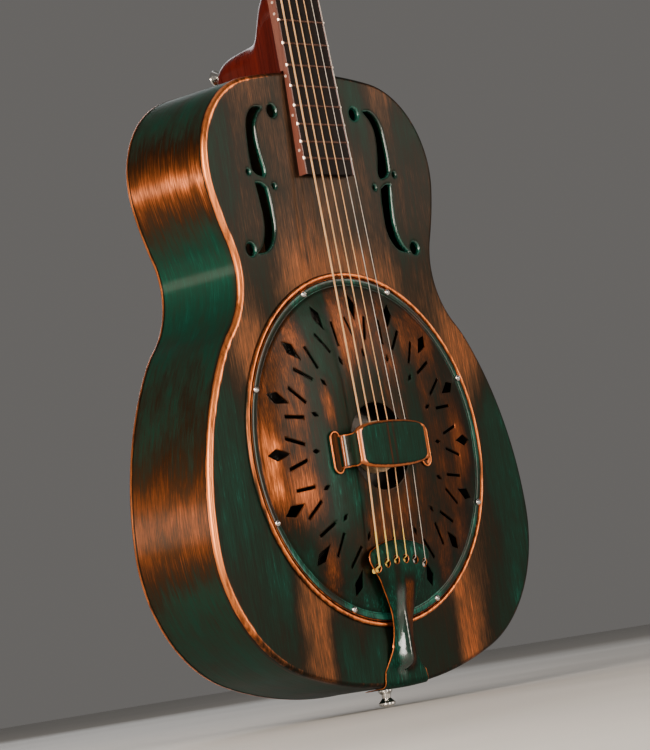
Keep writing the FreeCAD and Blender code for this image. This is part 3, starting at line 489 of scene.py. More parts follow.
# radius, depth and wear of the rows round the centre hole, and of the sunk flange and the rim
CENTRE_ROWS = ((33.4, -11.8, 0.45), (33.0, -11.2, 0.2), (33.0, -9.6, 0.0))
FLANGE_ROWS = (
    (124.5, -2.0, 0.3), (125.1, -1.6, -0.2), (125.6, -1.6, -0.2), (126.2, -2.0, -0.1), (126.9, -2.2, -0.2),
    (129.9, -2.2, -0.2), (130.6, -2.05, 0.6), (131.1, -1.6, 0.8), (COVER_RADIUS, -0.9, 0.4),
    (COVER_RADIUS, 0.0, 0.1),
)


def dome_height(radius):
    """The dome's section, a smooth curve through its stations."""
    stations = np.array(smooth_curve(DOME, 1.0) + [np.array(DOME[-1])])
    return np.interp(radius, stations[:, 0], stations[:, 1])


def ray_loops():
    """Each ray: a kite, two leaning slots and a small diamond, all pointing at the centre."""
    (out_r, out_a), (in_r, in_a) = SLOT_ENDS
    lean = math.atan2(out_a - in_a, out_r - in_r)
    dr, da = SLOT_HALF * math.sin(lean), SLOT_HALF * math.cos(lean)
    slot = tuple((r + side * dr, a - side * da) for r, a, side in (
        (out_r, out_a, -1), (out_r, out_a, 1), (in_r, in_a, 1), (in_r, in_a, -1)))
    shapes = [KITE, DIAMOND, slot, tuple((r, -a) for r, a in slot)]
    loops = []
    for number in range(RAYS):
        turn = math.pi / 2 - number * 2 * math.pi / RAYS
        radial = np.array([math.cos(turn), math.sin(turn)])
        across = np.array([math.sin(turn), -math.cos(turn)])
        for shape in shapes:
            loops.append(straight_sides([r * radial + a * across for r, a in shape], 2.4))
    return loops


def coverplate_skin():
    """The domed, pierced cover with softly pressed hole edges and its sunk screw flange."""
    reach, drop = 0.7, 0.32
    centre, foot = DOME[0][0], DOME[-1][0]
    border = circle(foot, RING_POINTS)
    inner = circle(centre + 1.2, CENTRE_POINTS)
    holes = ray_loops()
    grid = [circle(r, max(48, round(2 * math.pi * r / 4.5))) for r in np.arange(38, 123, 4.0)]
    grid = np.vstack(grid + [circle(centre + 2.2, CENTRE_POINTS)])
    grid = grid[distance_to(grid, holes) > 1.6]
    flat, triangles, loops = flat_sheet(border, [inner] + holes, grid, (0.35, 0.7, 1.3))
    gap = distance_to(flat, holes)
    radius = np.hypot(*flat.T)
    wear = np.maximum(0.42 * fade(gap, 0.1, 0.8), 0.15 * fade(radius, centre + 1.2, centre + 3.2))
    sheet = Sheet()
    numbers = sheet.flat(at_depth(flat, dome_height(radius) + rolled(gap, reach, drop)), triangles, wear)
    for loop in loops[2:]:
        depth = dome_height(np.hypot(*flat[loop].T)) + COVER_DEPTH
        sheet.grow(numbers[loop], at_depth(flat[loop], depth), 0.25)
    for loop, rows, count in ((loops[1], CENTRE_ROWS, CENTRE_POINTS), (loops[0], FLANGE_ROWS, RING_POINTS)):
        row = numbers[loop]
        for ring_radius, y, worn in rows:
            row = sheet.grow(row, at_depth(circle(ring_radius, count), y), worn)
    return sheet.object("coverplate_skin", 0.7)


# ---- handrest ----
# x, depth and half width along one leg and up to the middle of the pad
HANDREST_LINE = (
    (-50.5, -12.2, 12.6), (-48.0, -12.9, 12.6), (-45.6, -13.5, 12.5), (-44.0, -15.2, 12.4),
    (-43.2, -18.0, 12.3), (-42.6, -21.0, 12.4), (-41.8, -23.4, 12.7), (-40.2, -25.2, 13.2),
    (-37.6, -26.1, 13.9), (-33.6, -26.3, 15.0), (-28.0, -26.5, 16.1), (-21.0, -26.65, 17.0),
    (-14.0, -26.75, 17.5), (-7.0, -26.8, 17.8), (0.0, -26.8, 17.9),
)
STRIP_ACROSS = (-1.0, -0.985, -0.955, -0.91, -0.86, -0.81, -0.72, -0.55, -0.3)
STRIP_SHEET = 1.2
LEG_DROP = 2.2
# where the rubbed rim of the pad starts and its reach, as shares across, and in mm towards its ends
PAD_CORNER = (0.66, 0.27, 29.0, 8.5)
EDGE_WEAR, SKIRT_WEAR = 0.95, 0.6
FOOT_CENTRE = (-51.6, -2.4)
FOOT_RADIUS = 6.0
FOOT_STRAIGHT = 10.4
# inset, depth and wear of the rows of a foot, from its base up to its sunk middle
FOOT_SECTION = (
    (0.0, -10.8, 0.1), (0.0, -12.3, 0.3), (0.25, -12.85, 0.8), (0.8, -13.15, 0.95), (1.4, -13.1, 0.7),
    (1.9, -12.75, 0.56), (2.4, -12.6, 0.56),
)


def handrest_strip(sheet, line):
    """The bent strip: two legs and the crowned pad, with every edge turned down."""
    across = np.array(STRIP_ACROSS + (0.0,) + tuple(-v for v in reversed(STRIP_ACROSS)))
    tangent = np.gradient(line[:, :2], axis=0)
    tangent /= np.linalg.norm(tangent, axis=1)[:, None]
    from_v, reach_v, from_x, reach_x = PAD_CORNER
    near_edge = np.clip((np.abs(across) - from_v) / reach_v, 0, 1.2)
    edge_line = EDGE_WEAR * smoothstep(0.86, 0.95, np.abs(across))
    previous = None
    for (x, y, half), (tx, ty) in zip(line, tangent):
        pad = float(fade(y, -26.0, -22.0))
        fall = np.clip((np.abs(across) - 0.84) / 0.16, 0, 1) ** 2 * (0.5 + 1.7 * pad)
        skirt = fall[0] + 0.3 + 2.6 * pad
        drops = np.concatenate([[skirt], fall, [skirt]])
        shares = np.concatenate([[-1], across, [1]])
        points = np.column_stack([x - ty * drops, y + tx * drops, shares * half - LEG_DROP * (1 - pad)])
        near_end = np.clip((abs(x) - from_x) / reach_x, 0, 1.2) * pad
        worn = np.maximum(EDGE_WEAR * smoothstep(0.78, 1.0, np.hypot(near_edge, near_end)) * pad, edge_line)
        row = sheet.add(points, np.concatenate([[SKIRT_WEAR], worn, [SKIRT_WEAR]]))
        if previous:
            sheet.band(previous, row, closed=False)
        previous = row


def handrest_foot(sheet, side):
    """An oblong foot with rounded ends, a raised rim and a sunk middle."""
    row = None
    for inset, y, worn in FOOT_SECTION:
        r = FOOT_RADIUS - inset
        top = [(r * math.cos(t), FOOT_STRAIGHT + r * math.sin(t)) for t in np.radians(np.arange(0, 181, 15))]
        loop = top + [(-x, -z) for x, z in top]
        points = [(side * (FOOT_CENTRE[0] + x), y, FOOT_CENTRE[1] + z) for x, z in loop]
        row = sheet.grow(row, points, worn) if row else sheet.add(points, worn)
    sheet.faces.append(tuple(row))


def handrest_skin():
    """The bridge guard: a crowned pad with a turned-down rim, two bent legs, and grooved feet."""
    stations = np.array(HANDREST_LINE)
    leg = np.array(smooth_curve(stations[:, :2], 1.1))
    widths = np.interp(run_lengths(leg), run_lengths(stations[:, :2]), stations[:, 2])
    leg = np.column_stack([leg, widths])
    strip = Sheet()
    handrest_strip(strip, np.vstack([leg, stations[-1:], (leg * (-1, 1, 1))[::-1]]))
    piece = strip.object("handrest_strip", 0)
    thicken(piece, STRIP_SHEET)
    smooth = piece.modifiers.new("smooth", "SUBSURF")
    smooth.levels = smooth.render_levels = 1
    apply_modifiers(piece)
    shade(piece, 60)
    feet = Sheet()
    for side in (1, -1):
        handrest_foot(feet, side)
    return piece, feet.object("handrest_feet", 1.0)


# ---- tailpiece ----
# (z, depth) down the centre line, (z, half width) of the plate, and (depth, half width) of the strap
TAIL_PROFILE = (
    (-70.0, -11.4), (-75.0, -13.4), (-80.5, -14.3), (-88.0, -14.5), (-100.0, -13.4), (-113.0, -11.2),
    (-126.0, -8.9), (-140.0, -6.6), (-152.0, -4.0), (-161.0, -1.9), (-167.0, -1.2), (-172.0, -1.2),
)
TAIL_HALF_WIDTHS = (
    (-78.5, 33.0), (-82.0, 35.0), (-87.0, 34.6), (-93.0, 30.6), (-100.0, 25.6), (-108.0, 21.4),
    (-116.0, 17.2), (-124.0, 13.6), (-132.0, 11.8), (-141.0, 11.4), (-150.0, 12.8), (-158.0, 16.2),
    (-166.0, 21.3), (-172.0, 24.0),
)
STRAP_WIDTHS = ((0.5, 26.2), (6.0, 26.2), (15.0, 22.0), (26.0, 14.0), (34.0, 9.0), (36.2, 5.0), (37.0, 0.0))
RIDGE_Y = -11.0
RIDGE_SLOPE = 0.62
RIDGE_TALLEST = 8.8
RIDGE_ROUND = 1.2
STRAP = 1.2
BEND_TURN = np.radians(np.arange(0, 91, 10))
LIP_Z, LIP_HALF, LIP_RISE = -78.5, 33.0, 8.0
FRONT_END_Z = -172.9
TAIL_SPREAD = 55.0
TAIL_HOLE = 3.0


def tail_line():
    """The tailpiece's centre line from its lip to the strap's end, as (y, z) at every length along it."""
    line = [np.array([y, z]) for z, y in smooth_curve(TAIL_PROFILE, 1.5)]
    bend = EDGE_RADIUS + STRAP
    centre = np.array([EDGE_RADIUS, TAIL_Z + EDGE_RADIUS])
    line += [centre - bend * np.array([math.cos(turn), math.sin(turn)]) for turn in BEND_TURN]
    line += [np.array([y, TAIL_Z - STRAP]) for y in np.arange(6.0, 38.0, 2.0)]
    return run_lengths(line), np.array(line)


def tailpiece_skin():
    """Stamped plate: string holes under the lip, a waist with a raised ridge, a strap over the edge."""
    along, line = tail_line()
    front = along[line[:, 1] > -173.0]
    front_z = line[: len(front), 1]
    start = len(front) + len(BEND_TURN) - 1

    def u_of_z(z):
        return float(np.interp(-z, -front_z, front))

    def u_of_y(y):
        return float(np.interp(max(y, line[start, 0]), line[start:, 0], along[start:]))

    side = [(w, u_of_z(z)) for z, w in TAIL_HALF_WIDTHS] + [(w, u_of_y(y)) for y, w in STRAP_WIDTHS]
    lip = [np.array([LIP_HALF * math.sin(t), u_of_z(LIP_Z) - LIP_RISE * math.cos(t) ** 2])
           for t in np.linspace(0, math.pi / 2, 26)[:-1]]
    half = np.array(lip + smooth_curve(side, 1.6) + [np.array(side[-1])])
    border = np.vstack([half, half[1:-1][::-1] * (-1, 1)])
    border[:, 1] = np.maximum(border[:, 1], 0.2)
    holes = []
    for x in TAIL_SPREAD * (np.arange(6) / 5 - 0.5):
        holes.append(circle(TAIL_HOLE, 24, (x, u_of_z(-86.2 - x * x / 150.0))))
    grid = grid_points(border, 2.6)
    grid = grid[(distance_to(grid, holes) > 2.4) & (distance_to(grid, [border]) > 1.6)]
    grid = np.vstack([grid] + rings_around(border, (-0.45, -1.0)))
    flat, triangles, _ = flat_sheet(border, holes, grid, (0.4, 0.9, 1.7))
    x, u = flat.T
    y = np.interp(u, along, line[:, 0])
    z = np.interp(u, along, line[:, 1])
    edge_gap, hole_gap = distance_to(flat, [border]), distance_to(flat, holes)
    on_front = u < u_of_z(FRONT_END_Z)
    tallest = np.clip(y - RIDGE_Y, 0, RIDGE_TALLEST) * smoothstep(-170.5, -163.0, z) * on_front
    fallen = tallest - RIDGE_SLOPE * np.sqrt(x * x + RIDGE_ROUND)
    ridge = (fallen + np.sqrt(fallen * fallen + 0.4)) / 2 * (tallest > 0)
    curl = rolled(edge_gap, 1.5, 0.8) + 0.9 * fade(edge_gap, 0.5, 7.0) * (u < u_of_z(-150))
    dip = rolled(hole_gap, 1.2, 0.5)
    y = y - ridge + (curl + dip) * (u < u_of_z(-170))
    bow = x * x / (2 * OUTLINE_ARCS[0][0])
    z = z + bow * smoothstep(u_of_z(-160), u_of_z(FRONT_END_Z) + 8, u)
    wear = np.maximum(0.9 * fade(edge_gap, 0.0, 1.3), 0.85 * fade(hole_gap, 0.2, 1.1))
    sheet = Sheet()
    sheet.flat(np.column_stack([x, y, z]), triangles, wear)
    return sheet.object("tailpiece_skin", 1.1)


# ---- sides and back ----
def body_sides_skin():
    """The drawn side wall, one smooth band round the body between the two plates."""
    sheet = Sheet()
    ring = outline(0.3, 2.0)
    row = None
    for y in np.linspace(LID_DEPTH, BODY_DEPTH - LID_DEPTH, 25):
        worn = 0.5 * fade(y, LID_DEPTH, LID_DEPTH + 9)
        row = sheet.grow(row, at_depth(ring, y), worn) if row else sheet.add(at_depth(ring, y), worn)
    return sheet.object("body_sides_skin", 1.0)


def back_plate_skin():
    """The flat back with its turned rim."""
    border = outline(EDGE_RADIUS)
    grid = grid_points(border, 9.0)
    grid = grid[distance_to(grid, [border]) > 5.0]
    flat, triangles, loops = flat_sheet(border, [], np.vstack([grid] + rim_rows()), ())
    sheet = Sheet()
    wear = 0.6 * fade(distance_to(flat, [border]), 0.0, 2.2)
    numbers = sheet.flat(at_depth(flat, BODY_DEPTH), triangles, wear)
    turned_rim(sheet, numbers[loops[0]], BODY_DEPTH, -1, lambda ring: BACK_RIM_WEAR)
    return sheet.object("back_plate_skin", PLATE_SHEET)


# ---- shader building ----
class Shader:
    """A material being built: a Principled shader and a few shorthands for the nodes before it."""

    def __init__(self, name, **settings):
        self.material = bpy.data.materials.new(name)
        self.material.use_nodes = True
        self.nodes = self.material.node_tree.nodes
        self.links = self.material.node_tree.links
        self.surface = self.nodes["Principled BSDF"]
        for socket, value in settings.items():
            self.surface.inputs[socket.replace("_", " ")].default_value = value
        self.position = self.node("ShaderNodeTexCoord").outputs["Object"]

    def node(self, kind, **settings):
        """Adds a node of a kind, with some of its settings."""
        made = self.nodes.new(kind)
        for name, value in settings.items():
            setattr(made, name, value)
        return made

    def feed(self, socket, value):
        """Sets a socket to a value, or links an output to it."""
        if isinstance(value, bpy.types.NodeSocket):
            self.links.new(value, socket)
        else:
            socket.default_value = value

    def math(self, operation, *values, clamp=False):
        """A sum, product or other operation on values."""
        made = self.node("ShaderNodeMath", operation=operation, use_clamp=clamp)
        for socket, value in zip(made.inputs, values):
            self.feed(socket, value)
        return made.outputs[0]

    def vector(self, operation, first, second):
        """An operation on two vectors."""
        made = self.node("ShaderNodeVectorMath", operation=operation)
        self.feed(made.inputs[0], first)
        self.feed(made.inputs[1], second)
        return made.outputs[0]

    def axes(self, vector):
        """A vector's x, y and z outputs."""
        made = self.node("ShaderNodeSeparateXYZ")
        self.links.new(vector, made.inputs[0])
        return made.outputs

    def noise(self, scale, detail=3.0, roughness=0.6, shift=0.0, source=None):
        """Noise with its own scale along each axis, per metre."""
        spread = self.vector("MULTIPLY", source or self.position, scale)
        moved = self.vector("ADD", spread, (shift, shift * 1.7, shift * 0.6))
        made = self.node("ShaderNodeTexNoise")
        self.links.new(moved, made.inputs["Vector"])
        made.inputs["Scale"].default_value = 1.0
        made.inputs["Detail"].default_value = detail
        made.inputs["Roughness"].default_value = roughness
        return made.outputs["Fac"]

    def span(self, value, low, high, out_low=0.0, out_high=1.0, smooth=True):
        """Carries the range from low to high over to another range."""
        made = self.node("ShaderNodeMapRange", interpolation_type="SMOOTHSTEP" if smooth else "LINEAR")
        for socket, given in zip(made.inputs, (value, low, high, out_low, out_high)):
            self.feed(socket, given)
        return made.outputs[0]

    def vary(self, noise, low, high, smooth=True):
        """Carries a noise, most of which lies from 0.3 to 0.7, over to another range."""
        return self.span(noise, 0.3, 0.7, low, high, smooth)

    def ramp(self, value, stops):
        """A colour for each value, through (position, colour) stops."""
        made = self.node("ShaderNodeValToRGB")
        elements = made.color_ramp.elements
        while len(elements) < len(stops):
            elements.new(0.5)
        for element, (position, colour) in zip(elements, stops):
            element.position = position
            element.color = (*colour, 1.0)
        self.links.new(value, made.inputs[0])
        return made.outputs[0]

    def mix(self, share, first, second):
        """Two colours mixed by share."""
        made = self.node("ShaderNodeMix", data_type="RGBA")
        self.feed(made.inputs[0], share)
        for socket, colour in ((made.inputs[6], first), (made.inputs[7], second)):
            self.feed(socket, colour if isinstance(colour, bpy.types.NodeSocket) else (*colour, 1.0))
        return made.outputs[2]

    def bump(self, height, distance, strength, before=None):
        """A normal bumped by a height, on top of an earlier normal where one is given."""
        made = self.node("ShaderNodeBump")
        self.feed(made.inputs["Strength"], strength)
        made.inputs["Distance"].default_value = distance
        self.links.new(height, made.inputs["Height"])
        if before:
            self.links.new(before, made.inputs["Normal"])
        return made.outputs[0]

    def give(self, **sockets):
        """Feeds the Principled shader's sockets and returns the material."""
        for name, value in sockets.items():
            self.feed(self.surface.inputs[name.replace("_", " ")], value)
        return self.material


# ---- patina ----
# Places on each part, about the bridge in mm: (x from, x to, z from, z to, how much). Above 0 they are
# barer copper, mostly rubbed but in places marked below partly a painted highlight, and below 0 greener. In
# the POLISH tables they are glossy.
TOP_PLACES = (
    (-84, 70, 116, 140, 0.18), (-64, 40, 134, 160, 0.12), (-70, 10, 150, 200, 0.05),
    (-96, -50, 270, 300, 0.1), (70, 108, 266, 300, 0.1), (-132, -102, 46, 114, 0.17),
    (110, 150, 40, 112, 0.2), (-106, -73, -200, -84, 0.19), (72, 100, -200, -76, 0.25),
    (100, 116, -190, -84, 0.08), (-46, -34, -150, -136, 0.16), (116, 134, -60, 30, 0.1),
    (-146, -100, 176, 268, -0.18), (92, 130, 236, 290, -0.12), (-104, -56, 190, 222, -0.08),
    (-112, -72, 110, 172, -0.12), (36, 62, 236, 300, -0.22), (66, 112, 140, 172, -0.1),
    (56, 84, 176, 232, -0.08), (92, 130, 176, 262, -0.07), (-176, -138, -76, 56, -0.3),
    (-138, -108, -110, 46, -0.18), (-170, -110, -140, -76, -0.18), (-160, -104, -180, -140, -0.1),
    (-72, -20, -190, -130, -0.3), (-20, 72, -190, -130, -0.16), (144, 190, -140, 46, -0.28),
    (122, 146, -120, 30, -0.12), (112, 160, -170, -120, -0.2),
)
COVER_PLACES = (
    (-128, -106, -38, 16, 0.3), (-124, -76, -46, 30, 0.2), (-98, -66, -54, -14, 0.12),
    (-124, -70, 30, 96, 0.14), (-80, -60, 70, 104, 0.2), (-58, -44, 16, 50, 0.3), (-26, 14, 60, 122, 0.24),
    (16, 42, 50, 122, 0.2), (46, 90, 62, 108, 0.24), (60, 112, -44, 56, 0.12), (92, 114, -22, 28, 0.16),
    (-30, 30, -84, -30, 0.14), (-78, -60, -104, -66, 0.24), (30, 54, -84, -40, 0.1),
    (56, 74, -106, -66, 0.2), (82, 102, -84, -34, 0.2), (-60, -26, 56, 124, -0.16),
    (-62, -28, -60, 14, -0.2), (-20, 40, 108, 126, -0.06), (-58, 58, -128, -100, -0.2),
    (42, 60, -20, 60, -0.1), (96, 124, 34, 92, -0.08), (-124, -84, -124, -60, -0.16),
    (76, 110, -124, -92, -0.12),
)
# The copper bands at the bouts' widest points, z 172 to 244 and -80 to 26 on both sides, are partly rubbed
# copper and partly a painted highlight.
SIDE_PLACES = (
    (-400, 0, 196, 222, 0.62), (-400, 0, 222, 244, 0.3), (-400, 0, 172, 196, 0.22), (-400, 0, -80, 0, 0.38),
    (-400, 0, -4, 26, 0.12), (0, 400, 190, 240, 0.52), (0, 400, -70, 24, 0.46), (0, 400, 96, 122, 0.2),
    (-60, 60, -400, -150, 0.08), (-400, 0, 20, 100, 0.1), (-400, 0, 60, 170, -0.1),
    (0, 400, 130, 176, -0.12),
)
BACK_PLACES = (
    (-70, -20, -190, 60, 0.24), (40, 76, -190, -60, 0.28), (-30, 60, 60, 190, 0.22),
    (-120, -60, 160, 300, 0.2), (60, 110, 120, 290, 0.24), (90, 150, -60, 70, 0.22),
    (-170, -120, -60, 40, 0.26), (-20, 30, -180, -20, -0.2), (-110, -60, 60, 150, -0.2),
    (10, 60, 190, 300, -0.18), (60, 190, -190, -60, -0.16),
)
# The copper band from x -47 to -44.4, on the bass-side leg's lower bend, is a painted highlight streak.
REST_PLACES = (
    (-7, -5, -40, 40, 0.3), (-1, 1, -40, 40, 0.26), (-47, -44.4, -40, 40, 0.62),
    (-44.4, -36, -40, 40, 0.12),
)
TAIL_PLACES = ((1.5, 13, -168, -100, 0.5), (-9, -3, -112, -84, 0.22), (-30, -18, -112, -92, 0.12))
REST_POLISH = ((-47, -43.4, -40, 40, 0.5), (-40, -34, -40, 40, 0.4))
TAIL_POLISH = ((-8, 1, -172, -108, 0.9),)
# Colours from full patina, 0, to bare copper, 1: on the top and back, the fittings, and the drawn sides.
GREEN_STOPS = (
    (0.0, (0.008, 0.110, 0.075)), (0.06, (0.003, 0.038, 0.023)), (0.16, (0.004, 0.023, 0.013)),
    (0.30, (0.009, 0.014, 0.008)),
)
COPPER_STOPS = ((0.84, (0.420, 0.112, 0.030)), (0.94, (0.880, 0.255, 0.070)), (1.0, (1.0, 0.31, 0.09)))
BRONZE = GREEN_STOPS + (
    (0.42, (0.017, 0.011, 0.006)), (0.55, (0.050, 0.026, 0.013)), (0.70, (0.150, 0.056, 0.022)),
) + COPPER_STOPS
RUST = GREEN_STOPS + (
    (0.42, (0.022, 0.014, 0.008)), (0.55, (0.062, 0.022, 0.008)), (0.70, (0.170, 0.048, 0.013)),
) + COPPER_STOPS
DRAWN = (
    (0.0, (0.006, 0.084, 0.056)), (0.06, (0.004, 0.060, 0.038)), (0.16, (0.009, 0.048, 0.030)),
    (0.30, (0.024, 0.038, 0.024)), (0.42, (0.036, 0.027, 0.015)), (0.55, (0.066, 0.025, 0.009)),
    (0.70, (0.170, 0.048, 0.013)),
) + COPPER_STOPS
PIT_COLOUR = (0.010, 0.016, 0.012)
# How the brush ran: up the face, or round the body. Scales per metre for each layer of streaks.
UPRIGHT = {"fine": (1500, 1500, 80), "streak": (1100, 1100, 26), "broad": (240, 240, 8),
           "column": (520, 520, 3)}
ROUND = {"fine": (80, 1500, 80), "streak": (26, 1100, 26), "broad": (8, 240, 8), "column": (3, 420, 3)}


def patches(shader, where, rectangles, edge_x, edge_z):
    """The sum of soft-edged rectangles in x and z, each with its own strength."""
    total = None
    for x0, x1, z0, z1, strength in rectangles:
        centre = place((x0 + x1) / 2, 0, (z0 + z1) / 2)
        half_x, half_z = (x1 - x0) / 2 * MM, (z1 - z0) / 2 * MM
        offset = shader.vector("SUBTRACT", where, centre)
        away = shader.axes(shader.vector("ABSOLUTE", offset, (0, 0, 0)))
        in_x = shader.span(away[0], half_x - edge_x / 2, half_x + edge_x / 2, strength, 0.0)
        in_z = shader.span(away[2], half_z - edge_z / 2, half_z + edge_z / 2, 1.0, 0.0)
        share = shader.math("MULTIPLY", in_x, in_z)
        total = share if total is None else shader.math("ADD", total, share)
    return total


def patina(name, stops, base, places, brush, edge, blotch, polish=()):
    """Copper under green patina, brushed one way, and bare in places and along edges: mostly rubbed, in some
    places partly a painted highlight.

    edge is how softly a patch ends across and along the brush, and blotch is how uneven it all is. Where
    polish has places, they alone are glossy. Otherwise the pressed-in hole edges are.
    """
    shader = Shader(name, Coat_IOR=2.0, Coat_Roughness=0.08 if polish else 0.16, Specular_IOR_Level=0.14)
    sway = shader.noise((16, 16, 24), shift=3.0)
    column = shader.noise(brush["column"], shift=13.0)
    sideways, along = 0.22 * edge[0], edge[1] / 5
    shift = shader.node("ShaderNodeCombineXYZ")
    shader.links.new(shader.vary(sway, -sideways, sideways, smooth=False), shift.inputs[0])
    shader.links.new(shader.span(column, 0.25, 0.75, -along, along, smooth=False), shift.inputs[2])
    where = shader.vector("ADD", shader.position, shift.outputs[0])
    fine = shader.noise(brush["fine"], shift=17.0)
    streak = shader.noise(brush["streak"], 4.0, 0.65, 1.0)
    broad = shader.noise(brush["broad"], shift=7.0)
    cloud = shader.noise((38, 38, 22), 4.0, shift=5.0)
    value = shader.math("ADD", base, patches(shader, where, places, *edge))
    for layer, swing in ((fine, 0.12), (streak, 0.09), (broad, 0.04), (cloud, blotch)):
        value = shader.math("ADD", value, shader.span(layer, 0.28, 0.72, -swing, swing, smooth=False))
    # On the top's rim the wear attribute also holds a painted highlight.
    worn = shader.node("ShaderNodeAttribute", attribute_name="wear").outputs["Fac"]
    value = shader.math("ADD", value, shader.math("MINIMUM", worn, 0.0))
    ragged = shader.math("ADD", worn, shader.vary(broad, -0.16, 0.12, smooth=False))
    bare = shader.span(ragged, 0.12, 0.9, 0.0, 0.96)
    value = shader.math("MAXIMUM", value, bare, clamp=True)
    pits = shader.noise((900, 900, 500), 2.0, 0.5, 11.0)
    colour = shader.mix(shader.span(pits, 0.66, 0.74, 0.0, 0.45), shader.ramp(value, stops), PIT_COLOUR)
    metal = shader.span(value, 0.10, 0.60, 0.58, 1.0)
    brushed = shader.math("SUBTRACT", 1.0, bare)
    uneven = shader.math("MULTIPLY", shader.span(streak, 0.2, 0.8, -0.06, 0.10, smooth=False), brushed)
    rough = shader.math("ADD", shader.span(value, 0.1, 1.0, 0.50, 0.36), uneven)
    lines = shader.bump(fine, 0.05 * MM, shader.math("MULTIPLY", brushed, 0.3))
    skin = shader.bump(cloud, 0.4 * MM, 0.2, lines)
    if polish:
        gloss = patches(shader, where, polish, *edge)
    else:
        gloss = shader.span(worn, -0.12, -0.38, 0.03, 0.9)
    return shader.give(Base_Color=colour, Metallic=metal, Roughness=rough, Normal=skin, Coat_Weight=gloss)


# ---- other finishes ----
NUT_HALF = 22.3
BOARD_TAPER = 0.0139
WRAP_END_Z = -64
SPIN_PITCH = 1.1


def lacquered_wood(name, dark, light, grain=(260, 260, 9), rough=0.22, coat=0.8, gloss=0.5):
    """Figured wood under lacquer: long grain, pores and a slow change of tone."""
    shader = Shader(name, Coat_Weight=coat, Coat_Roughness=0.1, Specular_IOR_Level=gloss)
    bend = shader.noise((18, 18, 5), 2.0, 0.5, 2.0)
    where = shader.vector("ADD", shader.position, shader.span(bend, 0.0, 1.0, -4 * MM, 4 * MM, smooth=False))
    lines = shader.noise(grain, 5.0, shift=4.0, source=where)
    broad = shader.noise((40, 40, 6), 3.0, 0.5, 9.0, where)
    tone = shader.math("ADD", shader.math("MULTIPLY", lines, 0.6), shader.math("MULTIPLY", broad, 0.5))
    middle = tuple((a + b) / 2 for a, b in zip(dark, light))
    colour = shader.ramp(tone, ((0.34, dark), (0.55, middle), (0.76, light)))
    pores = shader.noise((1900, 1900, 55), 2.0, 0.5, 6.0)
    colour = shader.mix(shader.span(pores, 0.62, 0.72, 0.0, 0.65), colour, tuple(c * 0.3 for c in dark))
    roughness = shader.vary(lines, rough, rough + 0.16, smooth=False)
    return shader.give(Base_Color=colour, Roughness=roughness, Normal=shader.bump(pores, 0.06 * MM, 0.4))


def polished(name, colour, rough=0.12, tarnish=(0.34, 0.31, 0.26), amount=0.16):
    """Plated or cast metal with fine scratches and a little tarnish."""
    shader = Shader(name, Metallic=1.0)
    stain = shader.noise((90, 90, 90), 4.0, shift=2.0)
    scratch = shader.noise((2600, 400, 400), 3.0, 0.7, 5.0)
    share = shader.span(stain, 0.45, 0.75, 0.0, amount)
    tint = shader.mix(share, colour, tarnish)
    scuffed = shader.span(scratch, 0.3, 0.8, rough, rough + 0.14)
    roughness = shader.math("ADD", scuffed, shader.math("MULTIPLY", share, 0.3))
    return shader.give(Base_Color=tint, Roughness=roughness, Normal=shader.bump(scratch, 0.02 * MM, 0.3))


def mottled(name, scale, spread, dark, light, rough, bump, **settings):
    """A plain surface whose tone and gloss change a little. spread is where the tone starts and ends."""
    shader = Shader(name, **settings)
    grain = shader.noise(scale, shift=3.0)
    colour = shader.mix(shader.span(grain, *spread), dark, light)
    roughness = shader.vary(grain, *rough)
    return shader.give(Base_Color=colour, Roughness=roughness, Normal=shader.bump(grain, *bump))


def fret_wire():
    """Frets: painted dark along the crown as shade, with a painted glint at both filed ends."""
    shader = Shader("fret_wire", Metallic=0.8)
    x, _, z = shader.axes(shader.position)
    nut_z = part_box("nut")[0].z
    half = shader.math("MULTIPLY_ADD", z, -BOARD_TAPER, NUT_HALF * MM + BOARD_TAPER * nut_z)
    gap = shader.math("SUBTRACT", half, shader.math("ABSOLUTE", x))
    scratch = shader.noise((300, 2600, 2600), 3.0, 0.7, 5.0)
    # Dark crown tones are painted shade, and the bright colour near both board edges is a painted glint.
    crown_in_shade = shader.mix(shader.vary(scratch, 0.0, 1.0), (0.060, 0.026, 0.018), (0.130, 0.065, 0.045))
    colour = shader.mix(shader.span(gap, 1.2 * MM, 2.6 * MM, 1.0, 0.0), crown_in_shade, (1.0, 0.84, 0.72))
    rough = shader.vary(scratch, 0.26, 0.40)
    return shader.give(Base_Color=colour, Roughness=rough, Normal=shader.bump(scratch, 0.02 * MM, 0.3))


def wire(name, colour, pitch, wrap=None):
    """String wire with a ridge each pitch along its length, and thread wrapped near the ball end."""
    shader = Shader(name, Metallic=0.15, Specular_IOR_Level=1.0)
    z = shader.axes(shader.position)[2]
    ridge = shader.math("SINE", shader.math("MULTIPLY", z, 2 * math.pi / (pitch * MM)))
    grime = shader.noise((300, 300, 60), shift=3.0)
    tone = shader.span(shader.math("ADD", shader.math("MULTIPLY", ridge, 0.16), grime), 0.25, 0.7)
    tint = shader.mix(tone, tuple(c * 0.6 for c in colour), colour)
    if wrap:
        end = place(0, 0, WRAP_END_Z)[2]
        tint = shader.mix(shader.span(z, end - 0.8 * MM, end + 0.8 * MM, 1.0, 0.0), tint, wrap)
    rough = shader.vary(grime, 0.36, 0.5)
    return shader.give(Base_Color=tint, Roughness=rough, Normal=shader.bump(ridge, 0.08 * MM, 0.6))


